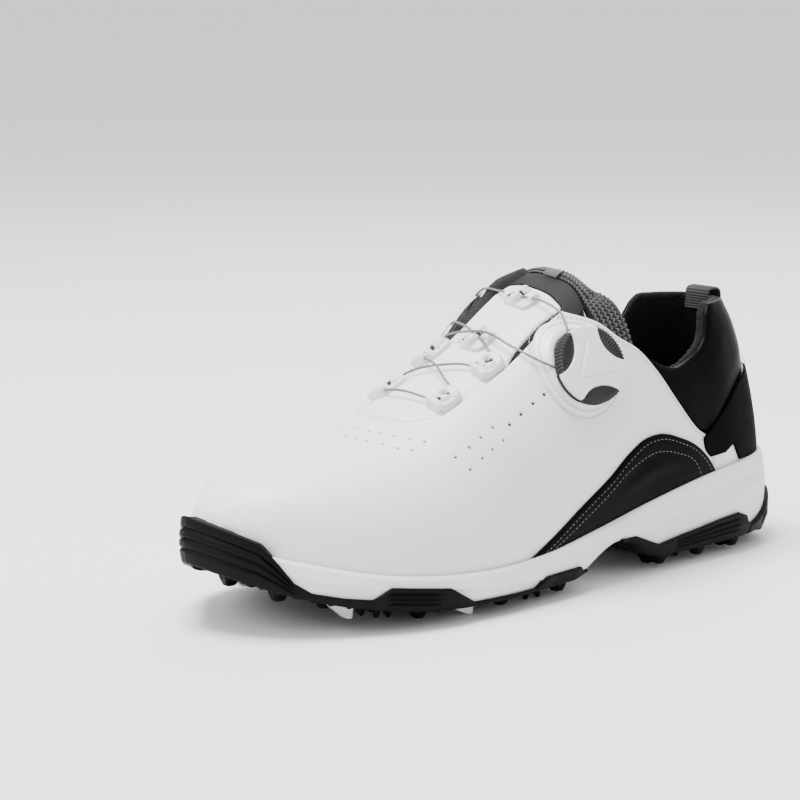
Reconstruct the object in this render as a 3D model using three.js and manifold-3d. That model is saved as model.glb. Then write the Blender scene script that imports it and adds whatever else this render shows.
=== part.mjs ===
// Left golf shoe with a dial lacing system, built in millimetres with +Z up.
//
// The shoe is laid out along its length with "t", the distance forward from the
// back of the heel, "y", the sideways distance from the last's centre line
// (negative on the outer, lateral side) and "z", the height above the ground.
// The toe points to -X.

import * as THREE from 'three';
import { mergeVertices } from 'three/addons/utils/BufferGeometryUtils.js';
import Module from 'manifold-3d';

const wasm = await Module();
wasm.setup();

// ---------------------------------------------------------------- sizes

const HEEL_X = 148.67;         // X of the heel reference, so that the box is centred
const CENTRE_Y = 2.08;         // Y of the last's centre line, so that the box is centred
const GAP = 0.35;              // clearance between neighbouring pieces
const LEATHER = 1.5;           // thickness of the outer leather
const OVERLAY = 1.2;           // thickness of the overlays sewn on it
const STIFFENER = [1.85, 2.6]; // depth of the toe puff and the heel counter
const COLLAR_PAD = [2.95, 6.2];
const VAMP_LINING = [2.95, 3.9];
const TONGUE = [1.9, 3.3];
const TONGUE_PAD = [3.65, 6.4];
const LACE_RADIUS = 0.5;
const LACE_CLEARANCE = 0.85;
const ROWS = 22;               // steps along the last
const COLUMNS = 10;            // steps from the lateral to the medial feather edge

// Radii of the dial's pieces, and heights above its foot along its axis.
const DIAL = {
  t: 125.3, z: 86.9, axis: [0.1, -0.905, 0.413],
  hole: 13.5, flange: 18.6,
  housing: 13.0, bore: 11.7, floor: -2.0, rim: 2.8,
  spool: 10.4, drum: 6.5, hub: 3.2, bush: 2.85, screw: 0.95,
  knob: 16.2, grip: 16.5, gripInside: 10.8, base: 3.2, top: 8.6,
  padCentre: 92, padHalf: 36, padDepth: 5.4,
};
const ANCHOR = { t: 131, z: 88, radius: 13, height: 3.2 };
const LOOP = { t: 21, depth: 8, width: 14, top: 113.6, web: 1.3 };

const CLEAT = { height: 5.6, disc: 8.6, legs: 6, stud: 2.7, insert: 7.6 };
const CLEATS = {
  lateral_front: [232, -30], lateral_rear: [163, -38],
  medial_front: [236, 26], medial_rear: [170, 31], centre: [200, -4],
  heel_lateral: [70, -22], heel_medial: [66, 18],
};

const COLOUR = {
  white: 0xf1f1ef, black: 0x141415, matte: 0x1b1b1c, dark: 0x4a4a4c, knit: 0x3a3a3c,
  lining: 0x242426, grey: 0x7d7d80, light: 0xd8d8d6, board: 0xb9a98a, steel: 0x9a9ca0,
};

// ---------------------------------------------------------------- the last

// One row per section: t, lateral and medial feather edge, feather height,
// ridge side and height, fullness of the lateral and of the medial wall.
const SECTIONS = [
  [4, 0, 0, 38, 0, 138, 2.2, 2.2],
  [7, -14, 14, 38, 0, 138, 2.2, 2.2],
  [16, -24, 23, 38, 0, 138, 2.2, 2.2],
  [32, -31, 29, 37, 1, 138, 2.2, 2.2],
  [60, -35, 33, 34, 3, 136, 2.3, 2.4],
  [95, -38, 35, 28, 7, 127, 2.5, 2.8],
  [130, -43, 37, 22, 9, 110, 2.5, 3.0],
  [160, -48, 40, 18, 7, 93, 2.4, 2.8],
  [190, -52, 43, 17, 4, 79, 2.35, 2.6],
  [215, -51, 45, 18, 3, 68.4, 2.35, 2.3],
  [240, -46, 45, 21, 4, 63, 2.4, 2.3],
  [262, -36, 38, 26, 5, 59.4, 2.5, 2.4],
  [280, -22, 21.5, 31, 5, 53.8, 2.5, 2.5],
  [288.6, -9, 12, 34, 4, 45.9, 2.4, 2.4],
  [292.5, 5, 5, 36, 5, 36, 2.2, 2.2],
];
// The back of the heel leans forward above the midsole: height, lean.
const HEEL_LEAN = [[36, 0], [50, 1.5], [70, 6], [90, 12], [105, 18], [150, 32]];
// The instep stands fuller on the medial side, beside the tongue.
const INSTEP = { height: 8, t: 126, reachT: 24, v: 0.3, reachV: 0.22 };

function sectionPositions() {
  const at = [0];
  for (let i = 1; i < SECTIONS.length; i += 1) {
    const [a, b] = [SECTIONS[i - 1], SECTIONS[i]];
    const wide = (b[1] - a[1]) ** 2 + (b[2] - a[2]) ** 2;
    at.push(at[i - 1] + Math.sqrt((b[0] - a[0]) ** 2 + wide / 2));
  }
  return at.map((s) => s / at[at.length - 1]);
}
const AT = sectionPositions();

function slope(i, k) {
  const rise = (a, b) => (SECTIONS[b][k] - SECTIONS[a][k]) / (AT[b] - AT[a]);
  const last = SECTIONS.length - 1;
  if (i === 0) return rise(0, 1);
  if (i === last) return rise(last - 1, last);
  const before = AT[i] - AT[i - 1];
  const after = AT[i + 1] - AT[i];
  return (rise(i - 1, i) * after + rise(i, i + 1) * before) / (before + after);
}

// The section at u, 0 at the heel and 1 at the toe, by cubic Hermite steps.
function section(u) {
  let i = 0;
  while (i < AT.length - 2 && AT[i + 1] <= u) i += 1;
  const h = AT[i + 1] - AT[i];
  const s = Math.min(Math.max((u - AT[i]) / h, 0), 1);
  const a = 2 * s ** 3 - 3 * s ** 2 + 1;
  const b = (s ** 3 - 2 * s ** 2 + s) * h;
  const c = 1 - a;
  const d = (s ** 3 - s ** 2) * h;
  const value = (k) => a * SECTIONS[i][k] + b * slope(i, k)
    + c * SECTIONS[i + 1][k] + d * slope(i + 1, k);
  return {
    t: value(0), lateral: value(1), medial: value(2), feather: value(3),
    ridgeY: value(4), ridge: value(5), fullLateral: value(6), fullMedial: value(7),
  };
}

function interpolate(table, x) {
  if (x <= table[0][0]) return table[0][1];
  for (let i = 1; i < table.length; i += 1) {
    const [a, b] = [table[i - 1], table[i]];
    if (x <= b[0]) return a[1] + (b[1] - a[1]) * (x - a[0]) / (b[0] - a[0]);
  }
  return table[table.length - 1][1];
}

const point = (t, y, z) => new THREE.Vector3(HEEL_X - t, CENTRE_Y + y, z);

// The bare skin of the last: v is -1 at the lateral feather edge, 0 on the ridge
// and 1 at the medial feather edge.
function bareSkin(u, v) {
  const s = section(u);
  const full = v < 0 ? s.fullLateral : s.fullMedial;
  const edge = v < 0 ? s.lateral : s.medial;
  const angle = (1 - Math.abs(v)) * Math.PI / 2;
  const out = Math.max(Math.cos(angle), 0) ** (2 / full);
  const up = Math.max(Math.sin(angle), 0) ** (2 / full);
  const z = s.feather + (s.ridge - s.feather) * up;
  const near = Math.max(0, 1 - s.t / 90);
  const lean = interpolate(HEEL_LEAN, z) * near * near * (3 - 2 * near);
  return point(s.t + lean, s.ridgeY + (edge - s.ridgeY) * out, z);
}

function normalOf(surface, u, v) {
  const e = 0.002;
  if (u < e || u > 1 - e) {
    const inner = u < e ? e : 1 - e;
    const a = normalOf(surface, inner, v);
    const b = normalOf(surface, inner, -v);
    return new THREE.Vector3(a.x + b.x, 0, a.z + b.z).normalize();
  }
  const w = Math.min(Math.max(v, -1 + e), 1 - e);
  const along = surface(u + e, w).sub(surface(u - e, w));
  const across = surface(u, w + e).sub(surface(u, w - e));
  return across.cross(along).normalize();
}

function skin(u, v) {
  const at = bareSkin(u, v);
  if (v <= 0 || u < 0.05 || u > 0.95) return at;
  const t = HEEL_X - at.x;
  const reach = ((t - INSTEP.t) / INSTEP.reachT) ** 2 + ((v - INSTEP.v) / INSTEP.reachV) ** 2;
  const rise = INSTEP.height * Math.exp(-reach);
  return rise < 0.01 ? at : at.addScaledVector(normalOf(bareSkin, u, v), rise);
}

// A point a depth below the skin; a negative depth stands above it.
const under = (u, v, depth) => skin(u, v).addScaledVector(normalOf(skin, u, v), -depth);

function bisect(low, high, tooLow) {
  let [a, b] = [low, high];
  for (let i = 0; i < 40; i += 1) {
    const middle = (a + b) / 2;
    if (tooLow(middle)) a = middle;
    else b = middle;
  }
  return (a + b) / 2;
}
const uAt = (t) => bisect(0, 1, (u) => section(u).t < t);

// Height h above the skin at (t, z) on one wall, or at (t, y) on top.
function onWall(side, t, z, h) {
  const u = uAt(t);
  const v = bisect(0, 1, (w) => skin(u, side * w).z > z);
  return under(u, side * v, -h);
}
function onTop(t, y, h) {
  const u = uAt(t);
  const v = bisect(-0.9, 0.9, (w) => skin(u, w).y - CENTRE_Y < y);
  return under(u, v, -h);
}
function wallNormal(side, t, z) {
  const u = uAt(t);
  const v = bisect(0, 1, (w) => skin(u, side * w).z > z);
  return normalOf(skin, u, side * v);
}

// ---------------------------------------------------------------- solids

function solid(geometry) {
  const bare = geometry.clone();
  for (const name of Object.keys(bare.attributes)) {
    if (name !== 'position') bare.deleteAttribute(name);
  }
  const merged = mergeVertices(bare, 1e-3);
  const index = Array.from(merged.index.array);
  const triangles = [];
  for (let i = 0; i < index.length; i += 3) {
    const [a, b, c] = index.slice(i, i + 3);
    if (a !== b && b !== c && c !== a) triangles.push(a, b, c);
  }
  const vertProperties = new Float32Array(merged.attributes.position.array);
  const make = (triVerts) => new wasm.Manifold(new wasm.Mesh({
    numProp: 3, vertProperties, triVerts: new Uint32Array(triVerts),
  }));
  const body = make(triangles);
  return body.volume() > 0 ? body : make(triangles.reverse());
}

function geometryOf(body) {
  const mesh = body.getMesh();
  const geometry = new THREE.BufferGeometry();
  const positions = new THREE.Float32BufferAttribute(mesh.vertProperties, 3);
  geometry.setAttribute('position', positions);
  geometry.setIndex(Array.from(mesh.triVerts));
  geometry.computeVertexNormals();
  return geometry;
}

// Closed loops of equal length, skinned one to the next, with fan caps.
function loft(loops) {
  const positions = loops.flat().flatMap((p) => [p.x, p.y, p.z]);
  const n = loops[0].length;
  const triangles = [];
  for (let i = 0; i + 1 < loops.length; i += 1) {
    for (let j = 0; j < n; j += 1) {
      const [a, b] = [i * n + j, i * n + (j + 1) % n];
      triangles.push(a, a + n, b, b, a + n, b + n);
    }
  }
  const end = (loops.length - 1) * n;
  for (let j = 1; j + 1 < n; j += 1) {
    triangles.push(0, j, j + 1, end, end + j + 1, end + j);
  }
  const geometry = new THREE.BufferGeometry();
  geometry.setAttribute('position', new THREE.Float32BufferAttribute(positions, 3));
  geometry.setIndex(triangles);
  return solid(geometry);
}

// The last grown or shrunk by a depth, closed under the feather line.
function lastBody(depth, drop) {
  const loops = [];
  for (let i = 0; i <= ROWS; i += 1) {
    const u = i / ROWS;
    const loop = [];
    for (let j = 0; j <= COLUMNS; j += 1) loop.push(under(u, -1 + 2 * j / COLUMNS, depth));
    const low = section(u).feather - drop;
    loop.push(loop[COLUMNS].clone().setZ(low));
    loop.unshift(loop[0].clone().setZ(low));
    loops.push(loop);
  }
  return loft(loops);
}
const layers = new Map();
function layer([outer, inner]) {
  const key = `${outer} ${inner}`;
  if (!layers.has(key)) {
    layers.set(key, lastBody(outer, 0).subtract(lastBody(inner, 20)));
  }
  return layers.get(key);
}

// A prism through the whole width with a side-view outline of (t, z) points, or
// through the whole height with a plan outline of (t, y) points.
function outlinePrism(points, depth) {
  const shape = new THREE.Shape(points.map(([a, b]) => new THREE.Vector2(a, b)));
  return new THREE.ExtrudeGeometry(shape, { depth, bevelEnabled: false });
}
const WIDE = 240;
function sidePrism(points, from = -WIDE / 2, to = WIDE / 2) {
  const geometry = outlinePrism(points.map(([t, z]) => [HEEL_X - t, z]), to - from);
  geometry.rotateX(Math.PI / 2);
  geometry.translate(0, to, 0);
  return solid(geometry);
}
function planPrism(points, from = -20, to = 180) {
  const geometry = outlinePrism(points.map(([t, y]) => [HEEL_X - t, CENTRE_Y + y]), to - from);
  geometry.translate(0, 0, from);
  return solid(geometry);
}

// The outline moved outwards by a distance, corner by corner.
function grown(points, distance) {
  const area = points.reduce((sum, [x, y], i) => {
    const [a, b] = points[(i + 1) % points.length];
    return sum + x * b - a * y;
  }, 0);
  const sign = area > 0 ? 1 : -1;
  return points.map((p, i) => {
    const before = new THREE.Vector2(...points[(i + points.length - 1) % points.length]);
    const here = new THREE.Vector2(...p);
    const after = new THREE.Vector2(...points[(i + 1) % points.length]);
    const a = here.clone().sub(before).normalize();
    const b = after.clone().sub(here).normalize();
    const n = new THREE.Vector2(a.y + b.y, -a.x - b.x).normalize();
    const lengthen = 1 / Math.max(Math.abs(n.x * a.y - n.y * a.x), 0.5);
    return [here.x + n.x * sign * distance * lengthen, here.y + n.y * sign * distance * lengthen];
  });
}

// A disc or ring with its axis from a point along a direction.
function along(geometry, origin, direction) {
  const turn = new THREE.Quaternion().setFromUnitVectors(new THREE.Vector3(0, 0, 1), direction);
  geometry.applyQuaternion(turn);
  geometry.translate(origin.x, origin.y, origin.z);
  return solid(geometry);
}
function turned(profile, origin, direction, sides = 20) {
  const points = profile.map(([r, h]) => new THREE.Vector2(r, h));
  const geometry = new THREE.LatheGeometry(points, sides);
  geometry.rotateX(Math.PI / 2);
  return along(geometry, origin, direction);
}
const ring = (inner, outer, low, high) => [
  [inner, low], [outer, low], [outer, high], [inner, high], [inner, low],
];
const disc = (outer, low, high) => [[0, low], [outer, low], [outer, high], [0, high]];

// ---------------------------------------------------------------- the group

const shoe = new THREE.Group();
function add(name, body, colour, roughness = 0.6, metalness = 0) {
  const material = new THREE.MeshStandardMaterial({ color: colour, roughness, metalness });
  const mesh = new THREE.Mesh(geometryOf(body), material);
  mesh.name = name;
  shoe.add(mesh);
}

// ---------------------------------------------------------------- upper outlines

// Top and back edge of the white quarters, seen from the side (t, z).
const QUARTER_EDGE = [
  [121, 108.5], [110, 104], [103, 98], [93.5, 92], [84, 82], [73, 68], [61, 55], [52, 49], [50, 34],
];
const BEHIND_QUARTER = [...QUARTER_EDGE, [50, -20], [-40, -20], [-40, 180], [121, 180]];
const HEEL_TOP = 106;
const TOPLINE = [
  [-40, HEEL_TOP], [40, HEEL_TOP], [46, 104.5], [49, 99], [51, 93], [56, 88], [63, 84.5],
  [72, 82.2], [80, 84], [87, 87.5], [96, 92], [125, 100], [125, 180], [-40, 180],
];
const FOXING = [[52, -20], [52, 43], [46, 50], [34, 64], [20, 75], [8, 80], [-40, 80], [-40, -20]];
const STRAP = [
  [58.5, 50.5], [59, 43], [49, 38.5], [37, 42.5], [34, 37.8], [-40, 37.8], [-40, 76], [10, 76],
  [24, 74.5], [35, 69], [47.5, 59],
];
const SADDLE = [
  [178, 14], [160, 22], [138, 33], [118, 43], [105, 51], [96, 55], [85, 56], [74, 53],
  [64, 48.5], [56, 42], [50, 34], [50, 10], [178, 10],
];
// The throat, seen from above (t, y).
const THROAT = [
  [207, 5], [206.5, -6], [203.5, -15.5], [197, -21], [187, -21.5], [176, -20.5], [165, -20],
  [153, -19], [141, -17.5], [131, -15.5], [121, -15], [100, -15], [100, 28], [118, 28.5],
  [124, 29.2], [130, 29.5], [141, 28.5], [153, 27.5], [165, 27], [176, 27], [187, 27], [197, 25], [203.5, 17],
];

// ---------------------------------------------------------------- the lace

const dialFoot = onWall(-1, DIAL.t, DIAL.z, 0);
const dialAxis = new THREE.Vector3(-DIAL.axis[0], DIAL.axis[1], DIAL.axis[2]).normalize();
const anchorFoot = onWall(1, ANCHOR.t, ANCHOR.z, 0);
const anchorAxis = wallNormal(1, ANCHOR.t, ANCHOR.z);

// A point on a disc's plane: forward is towards the toe, up is up the wall.
function onDisc(foot, axis, forward, up, height) {
  const ahead = new THREE.Vector3(-1, 0, 0);
  ahead.addScaledVector(axis, -ahead.dot(axis)).normalize();
  const upward = new THREE.Vector3(0, 0, 1);
  upward.addScaledVector(axis, -upward.dot(axis)).normalize();
  return foot.clone().addScaledVector(ahead, forward)
    .addScaledVector(upward, up).addScaledVector(axis, height);
}

// The route runs from the dial's lower exit through the guides to its top exit.
const LACE_ROUTE = [
  onDisc(dialFoot, dialAxis, 12.3, 1.0, 1.9),
  onDisc(dialFoot, dialAxis, 15.5, 2.4, 1.9),
  onTop(148.5, -15, 1.5),
  onTop(149.5, 0, 2.4),
  onTop(151.5, 8, 2.4),
  onTop(155, 19, 1.4),
  onTop(158, 22, 0.2),
  onTop(163, 22, 0.0),
  onTop(166.5, 18, 0.9),
  onTop(172, 4, 2.3),
  onTop(177.5, -8.5, 1.4),
  onTop(179, -13.5, 0.4),
  onTop(183, -16, 0.1),
  onTop(187.5, -14, 0.4),
  onTop(189, -9, 1.0),
  onTop(189.8, 3, 1.6),
  onTop(189.6, 14, 1.0),
  onTop(187.5, 20, 0.2),
  onTop(182, 22, 0.0),
  onTop(178, 20.5, 0.4),
  onTop(175, 14, 0.9),
  onTop(170, 3, 1.0),
  onTop(165.5, -8, 0.8),
  onTop(164, -13, 0.3),
  onTop(160, -15.5, 0.1),
  onTop(156.5, -13, 0.4),
  onTop(154.5, -7, 0.9),
  onTop(151.5, 1, 0.9),
  onTop(149.5, 8, 0.9),
  onTop(146.5, 20, -0.6),
  onTop(145, 26, -0.6),
  onTop(143, 32, 0.7),
  onDisc(anchorFoot, anchorAxis, 13.6, 2, 1.7),
  onDisc(anchorFoot, anchorAxis, 7.6, -4, 1.7),
  onDisc(anchorFoot, anchorAxis, 1.5, -7, 1.5),
  onDisc(anchorFoot, anchorAxis, -5, -4.5, 1.5),
  onDisc(anchorFoot, anchorAxis, -6, 2.5, 1.5),
  onDisc(anchorFoot, anchorAxis, -2, 9, 1.9),
  onDisc(anchorFoot, anchorAxis, 1, 15, 1.6),
  onTop(128.5, 32.5, 0.7),
  onTop(128.3, 25, -0.2),
  onTop(128, 18, -0.4),
  onTop(127.5, 8, 0.9),
  onTop(127, 2, 1.0),
  onTop(125, -8, 1.6),
  onTop(124, -16, 2.0),
  onDisc(dialFoot, dialAxis, 4.2, 15.6, 2.0),
  onDisc(dialFoot, dialAxis, 3.4, 11.9, 1.9),
];
const laceCurve = new THREE.CatmullRomCurve3(LACE_ROUTE, false, 'centripetal');

function tube(radius) {
  const corners = Array.from({ length: 8 }, (_, i) => {
    const angle = i * Math.PI / 4;
    return new THREE.Vector2(Math.cos(angle) * radius, Math.sin(angle) * radius);
  });
  const options = { steps: 66, extrudePath: laceCurve, bevelEnabled: false };
  return solid(new THREE.ExtrudeGeometry(new THREE.Shape(corners), options));
}
const laceRoom = tube(LACE_CLEARANCE);

// ---------------------------------------------------------------- the upper

function buildUpper() {
  const behind = sidePrism(BEHIND_QUARTER);
  const behindRoom = sidePrism(grown(BEHIND_QUARTER, -GAP));
  const throat = planPrism(THROAT);
  const aboveTopline = sidePrism(TOPLINE);
  const foxing = sidePrism(FOXING);
  const foxingRoom = sidePrism(grown(FOXING, GAP));
  const dialHole = turned(disc(DIAL.hole, -12, 12), dialFoot, dialAxis);
  const leather = layer([0, LEATHER]);

  const quarters = leather.subtract(behind).subtract(throat).subtract(dialHole);
  add('vamp_and_quarters', quarters, COLOUR.white, 0.45);
  const heel = leather.intersect(behindRoom);
  add('collar_panel', heel.subtract(aboveTopline).subtract(foxingRoom), COLOUR.black, 0.3);
  add('heel_foxing', heel.intersect(foxing), COLOUR.white, 0.45);

  const overlay = layer([-OVERLAY - GAP, -GAP]);
  const saddles = overlay.intersect(sidePrism(SADDLE));
  const saddleRoom = sidePrism(grown(SADDLE, GAP));
  add('heel_strap', overlay.intersect(sidePrism(STRAP)).subtract(saddleRoom), COLOUR.matte, 0.8);
  const half = [[-40, 0], [340, 0], [340, -120], [-40, -120]];
  const lateralHalf = planPrism(half);
  add('saddle_lateral', saddles.intersect(lateralHalf), COLOUR.black, 0.35);
  add('saddle_medial', saddles.subtract(lateralHalf), COLOUR.black, 0.35);

  const stiffener = layer(STIFFENER);
  const counter = [[75, -20], [75, 50], [55, 66], [30, 74], [-40, 74], [-40, -20]];
  add('heel_counter', stiffener.intersect(sidePrism(counter)), COLOUR.board, 0.8);
  const puff = [[252, -20], [252, 80], [340, 80], [340, -20]];
  add('toe_puff', stiffener.intersect(sidePrism(puff)), COLOUR.board, 0.8);

  const collarZone = [
    [112, -20], [112, 86], [99, 92], [92, 92], [88, 87.5], [80, 83.5], [72, 81.7], [63, 84], [55.5, 87.5],
    [50.5, 92.5], [48.5, 98.5], [45.5, 104], [40, 107], [-40, 107], [-40, -20],
  ];
  add('collar_lining', layer(COLLAR_PAD).intersect(sidePrism(collarZone)), COLOUR.lining, 0.9);
  const vampZone = [[112.6, -20], [112.6, 88], [126, 96], [126, 180], [340, 180], [340, -20]];
  const liningThroat = planPrism(grown(THROAT, 7.5));
  const vampLining = layer(VAMP_LINING).intersect(sidePrism(vampZone)).subtract(liningThroat);
  add('vamp_lining', vampLining, COLOUR.light, 0.9);
}

// ---------------------------------------------------------------- the tongue

function buildTongue() {
  // Plan outlines; the tongue runs under the quarters on both sides.
  const panel = [
    [212, 4], [209, -14], [200, -26], [176, -26], [153, -24.5], [134, -21.5], [122, -19],
    [119.3, -8], [118.8, 6], [119.3, 16], [121, 24], [134, 25], [153, 27], [176, 30], [200, 30],
    [209, 20],
  ];
  const zone = planPrism(panel);
  add('tongue_panel', layer(TONGUE).intersect(zone), COLOUR.white, 0.45);
  const padZone = planPrism([
    [210, 4], [200, -25], [176, -25], [153, -24], [134, -22], [112, -22], [110, -8], [110, 18],
    [113, 26], [134, 28], [153, 29], [176, 29], [200, 28],
  ]);
  add('tongue_pad', layer(TONGUE_PAD).intersect(padZone), COLOUR.dark, 0.95);

  // The smooth band and the knitted edge carry the tongue on above the white panel.
  const band = planPrism([
    [121.8, 27], [112.5, 26.4], [110, 18], [110, 4], [110, -10], [111.8, -19], [118, -20.5],
    [121.8, -19.5],
  ]).subtract(planPrism(grown(panel, GAP)));
  add('tongue_band', layer(TONGUE).intersect(band), COLOUR.dark, 0.55);
  const edge = planPrism([
    [111.3, -36], [111.3, -20], [109.6, -10], [109.6, 4], [109.6, 18], [112, 26.8], [112, 36],
    [107, 36], [106.5, 28], [105.5, 20], [104, 4], [104.5, -14], [98, -21], [93, -27], [93, -36],
  ]);
  const aboveCollar = sidePrism([[90, 93.5], [111.5, 93.5], [111.5, 140], [90, 140]]);
  const knit = layer([TONGUE[0], COLLAR_PAD[1]]).intersect(edge).intersect(aboveCollar);
  add('tongue_knit', knit, COLOUR.knit, 0.95);

  // Elastic gores join the tongue's sides to the upper.
  const gores = {
    gore_lateral: [[200, -27], [176, -26.8], [153, -25.3], [134, -22.3], [122.5, -19.8],
      [122.5, -24], [134, -26.5], [153, -33], [176, -35], [200, -35]],
    gore_medial: [[200, 31], [176, 31], [153, 28], [134, 26], [122.5, 25.5], [122.5, 32],
      [134, 33], [153, 34], [176, 35], [200, 35]],
  };
  for (const [name, outline] of Object.entries(gores)) {
    add(name, layer(STIFFENER).intersect(planPrism(outline)), COLOUR.knit, 0.9);
  }
}

// Moulded guides at the throat's edges and on the tongue: t, y of opposite corners.
const GUIDES = {
  guide_lateral_front: [178, -20.4, 190.8, -9.5],
  guide_lateral_rear: [154, -18.8, 166.5, -8],
  guide_medial_front: [177.5, 15, 190.5, 26.4],
  guide_medial_rear: [154.5, 15, 167.5, 26.4],
  guide_tongue_lower: [145.5, -3.5, 157, 10.5],
  guide_tongue_upper: [121.5, -3, 131.5, 12],
};
function buildGuides() {
  for (const [name, [t0, y0, t1, y1]] of Object.entries(GUIDES)) {
    const c = 2;
    const outline = [[t0 + c, y0], [t1 - c, y0], [t1, y0 + c], [t1, y1 - c], [t1 - c, y1],
      [t0 + c, y1], [t0, y1 - c], [t0, y0 + c]];
    const high = name.includes('tongue') ? 3.6 : 2;
    const block = layer([-high, TONGUE[0] - GAP]).intersect(planPrism(outline));
    add(name, block.subtract(laceRoom), COLOUR.white, 0.35);
  }
  const button = turned(disc(ANCHOR.radius, -12, 12), anchorFoot, anchorAxis, 24);
  const anchor = layer([-ANCHOR.height, -GAP]).intersect(button);
  add('lace_anchor_medial', anchor.subtract(laceRoom), COLOUR.white, 0.4);
}

// ---------------------------------------------------------------- the dial

// Outline of the knob's white core: a round with a hollow for each grip pad.
function knobOutline(extra) {
  const corners = [];
  for (let degrees = 0; degrees < 360; degrees += 15) {
    const fromPad = ((degrees - DIAL.padCentre + 660) % 120) - 60;
    const part = Math.min(Math.abs(fromPad) / DIAL.padHalf, 1);
    const r = DIAL.knob - DIAL.padDepth * Math.cos(part * Math.PI / 2) + extra;
    const angle = degrees * Math.PI / 180;
    corners.push(new THREE.Vector2(Math.cos(angle) * r, Math.sin(angle) * r));
  }
  return new THREE.Shape(corners);
}
// A solid made along +Z is stood on the dial's foot with its first axis forward.
function onDial(geometry, low) {
  const origin = onDisc(dialFoot, dialAxis, 0, 0, low);
  const forward = onDisc(dialFoot, dialAxis, 1, 0, low).sub(origin);
  const basis = new THREE.Matrix4().makeBasis(forward, dialAxis.clone().cross(forward), dialAxis);
  geometry.applyMatrix4(basis.setPosition(origin));
  return solid(geometry);
}

function buildDial() {
  const turn = (profile, sides) => turned(profile, dialFoot, dialAxis, sides);
  const seat = turn(disc(DIAL.flange, -14, 14));
  const sewn = layer([-OVERLAY - GAP, -GAP]).intersect(seat);
  const flange = sewn.subtract(turn(disc(DIAL.hole + GAP, -14, 14))).subtract(laceRoom);
  add('dial_flange', flange, COLOUR.white, 0.4);
  const housing = turn([
    [1.3, DIAL.floor], [DIAL.housing, DIAL.floor], [DIAL.housing, DIAL.rim],
    [DIAL.bore, DIAL.rim], [DIAL.bore, DIAL.floor + 0.8], [1.3, DIAL.floor + 0.8],
    [1.3, DIAL.floor],
  ]);
  add('dial_housing', housing.subtract(laceRoom), COLOUR.dark, 0.5);
  const spool = turn([
    [DIAL.hub, -0.9], [DIAL.spool, -0.9], [DIAL.spool, -0.2], [DIAL.drum, -0.2], [DIAL.drum, 1],
    [DIAL.spool, 1], [DIAL.spool, 1.6], [DIAL.hub, 1.6], [DIAL.hub, -0.9],
  ], 24);
  add('dial_spool', spool, COLOUR.grey, 0.4);
  add('dial_pawl_disc', turn(ring(DIAL.hub, 11.3, 1.95, 2.75), 24), COLOUR.light, 0.4);
  add('dial_axle_bush', turn(ring(1.25, DIAL.bush, -0.9, 3.6), 16), COLOUR.steel, 0.3, 0.8);
  const screw = turn([[0, -2.75], [2.2, -2.75], [2.2, -2.3], [DIAL.screw, -2.3],
    [DIAL.screw, 5.8], [2.4, 5.8], [2.4, 6.4], [0, 6.4]], 16);
  add('dial_axle_screw', screw, COLOUR.steel, 0.3, 0.8);

  const upper = DIAL.base + 1.5;
  const lobes = (extra, low, high) => onDial(new THREE.ExtrudeGeometry(knobOutline(extra),
    { depth: high - low, bevelEnabled: false }), low);
  const pocket = turn(disc(DIAL.hub, 2, 7), 16);
  const plug = turn(disc(DIAL.gripInside - GAP, DIAL.base, upper + 0.5));
  add('dial_knob', lobes(0, upper, DIAL.top).add(plug).subtract(pocket), COLOUR.white, 0.3);
  const grip = turn(ring(DIAL.gripInside, DIAL.grip, DIAL.base, DIAL.top - 1));
  add('dial_grip', grip.subtract(lobes(GAP, upper - GAP, DIAL.top + 1)), COLOUR.dark, 0.8);
}

// The webbing loop at the back of the collar.
function buildPullLoop() {
  const half = LOOP.width / 2;
  const [front, back] = [LOOP.t + LOOP.depth, LOOP.t];
  const [low, web] = [HEEL_TOP + 1 + GAP, LOOP.web];
  const arch = [[back, low], [back, LOOP.top - 1.5], [back + 1.5, LOOP.top],
    [front - 1.5, LOOP.top], [front, LOOP.top - 1.5], [front, low], [front - web, low],
    [front - web, LOOP.top - web - 0.6], [front - web - 0.6, LOOP.top - web],
    [back + web + 0.6, LOOP.top - web], [back + web, LOOP.top - web - 0.6], [back + web, low]];
  add('pull_loop', sidePrism(arch, CENTRE_Y - half, CENTRE_Y + half), COLOUR.knit, 0.95);
}

// ---------------------------------------------------------------- the sole

// Underside of the sole along its length, without lugs and cleats (t, z).
const GROUND = CLEAT.height;
const UNDERSIDE = [
  [-12, 15], [-4, 10], [4, 7], [14, GROUND], [92, GROUND], [101, 9.5], [108, 14.5], [115, 16.5],
  [122, 15.5], [130, 12], [138, 7.8], [146, GROUND], [206, GROUND], [222, 6.3], [236, 8],
  [250, 10.4], [264, 13.6], [276, 17.5], [288, 22.5], [297, 28], [306, 36],
];
const underside = (t) => interpolate(UNDERSIDE, t);

// A plan point outside the feather line on one side of the section at u.
function outside(u, side, flare, z) {
  const at = skin(u, side);
  const n = normalOf(skin, u, side).setZ(0).normalize();
  return new THREE.Vector3(at.x + n.x * flare, at.y + n.y * flare, z);
}
// Loops of (flare, height) pairs from top to bottom, mirrored to the other side.
function soleBody(profile) {
  const loops = [];
  for (let i = 0; i <= ROWS; i += 1) {
    const u = i / ROWS;
    const steps = profile(section(u));
    const lateral = steps.map(([flare, z]) => outside(u, -1, flare, z));
    const medial = steps.map(([flare, z]) => outside(u, 1, flare, z));
    loops.push([...medial, ...lateral.reverse()]);
  }
  return loft(loops);
}

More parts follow.
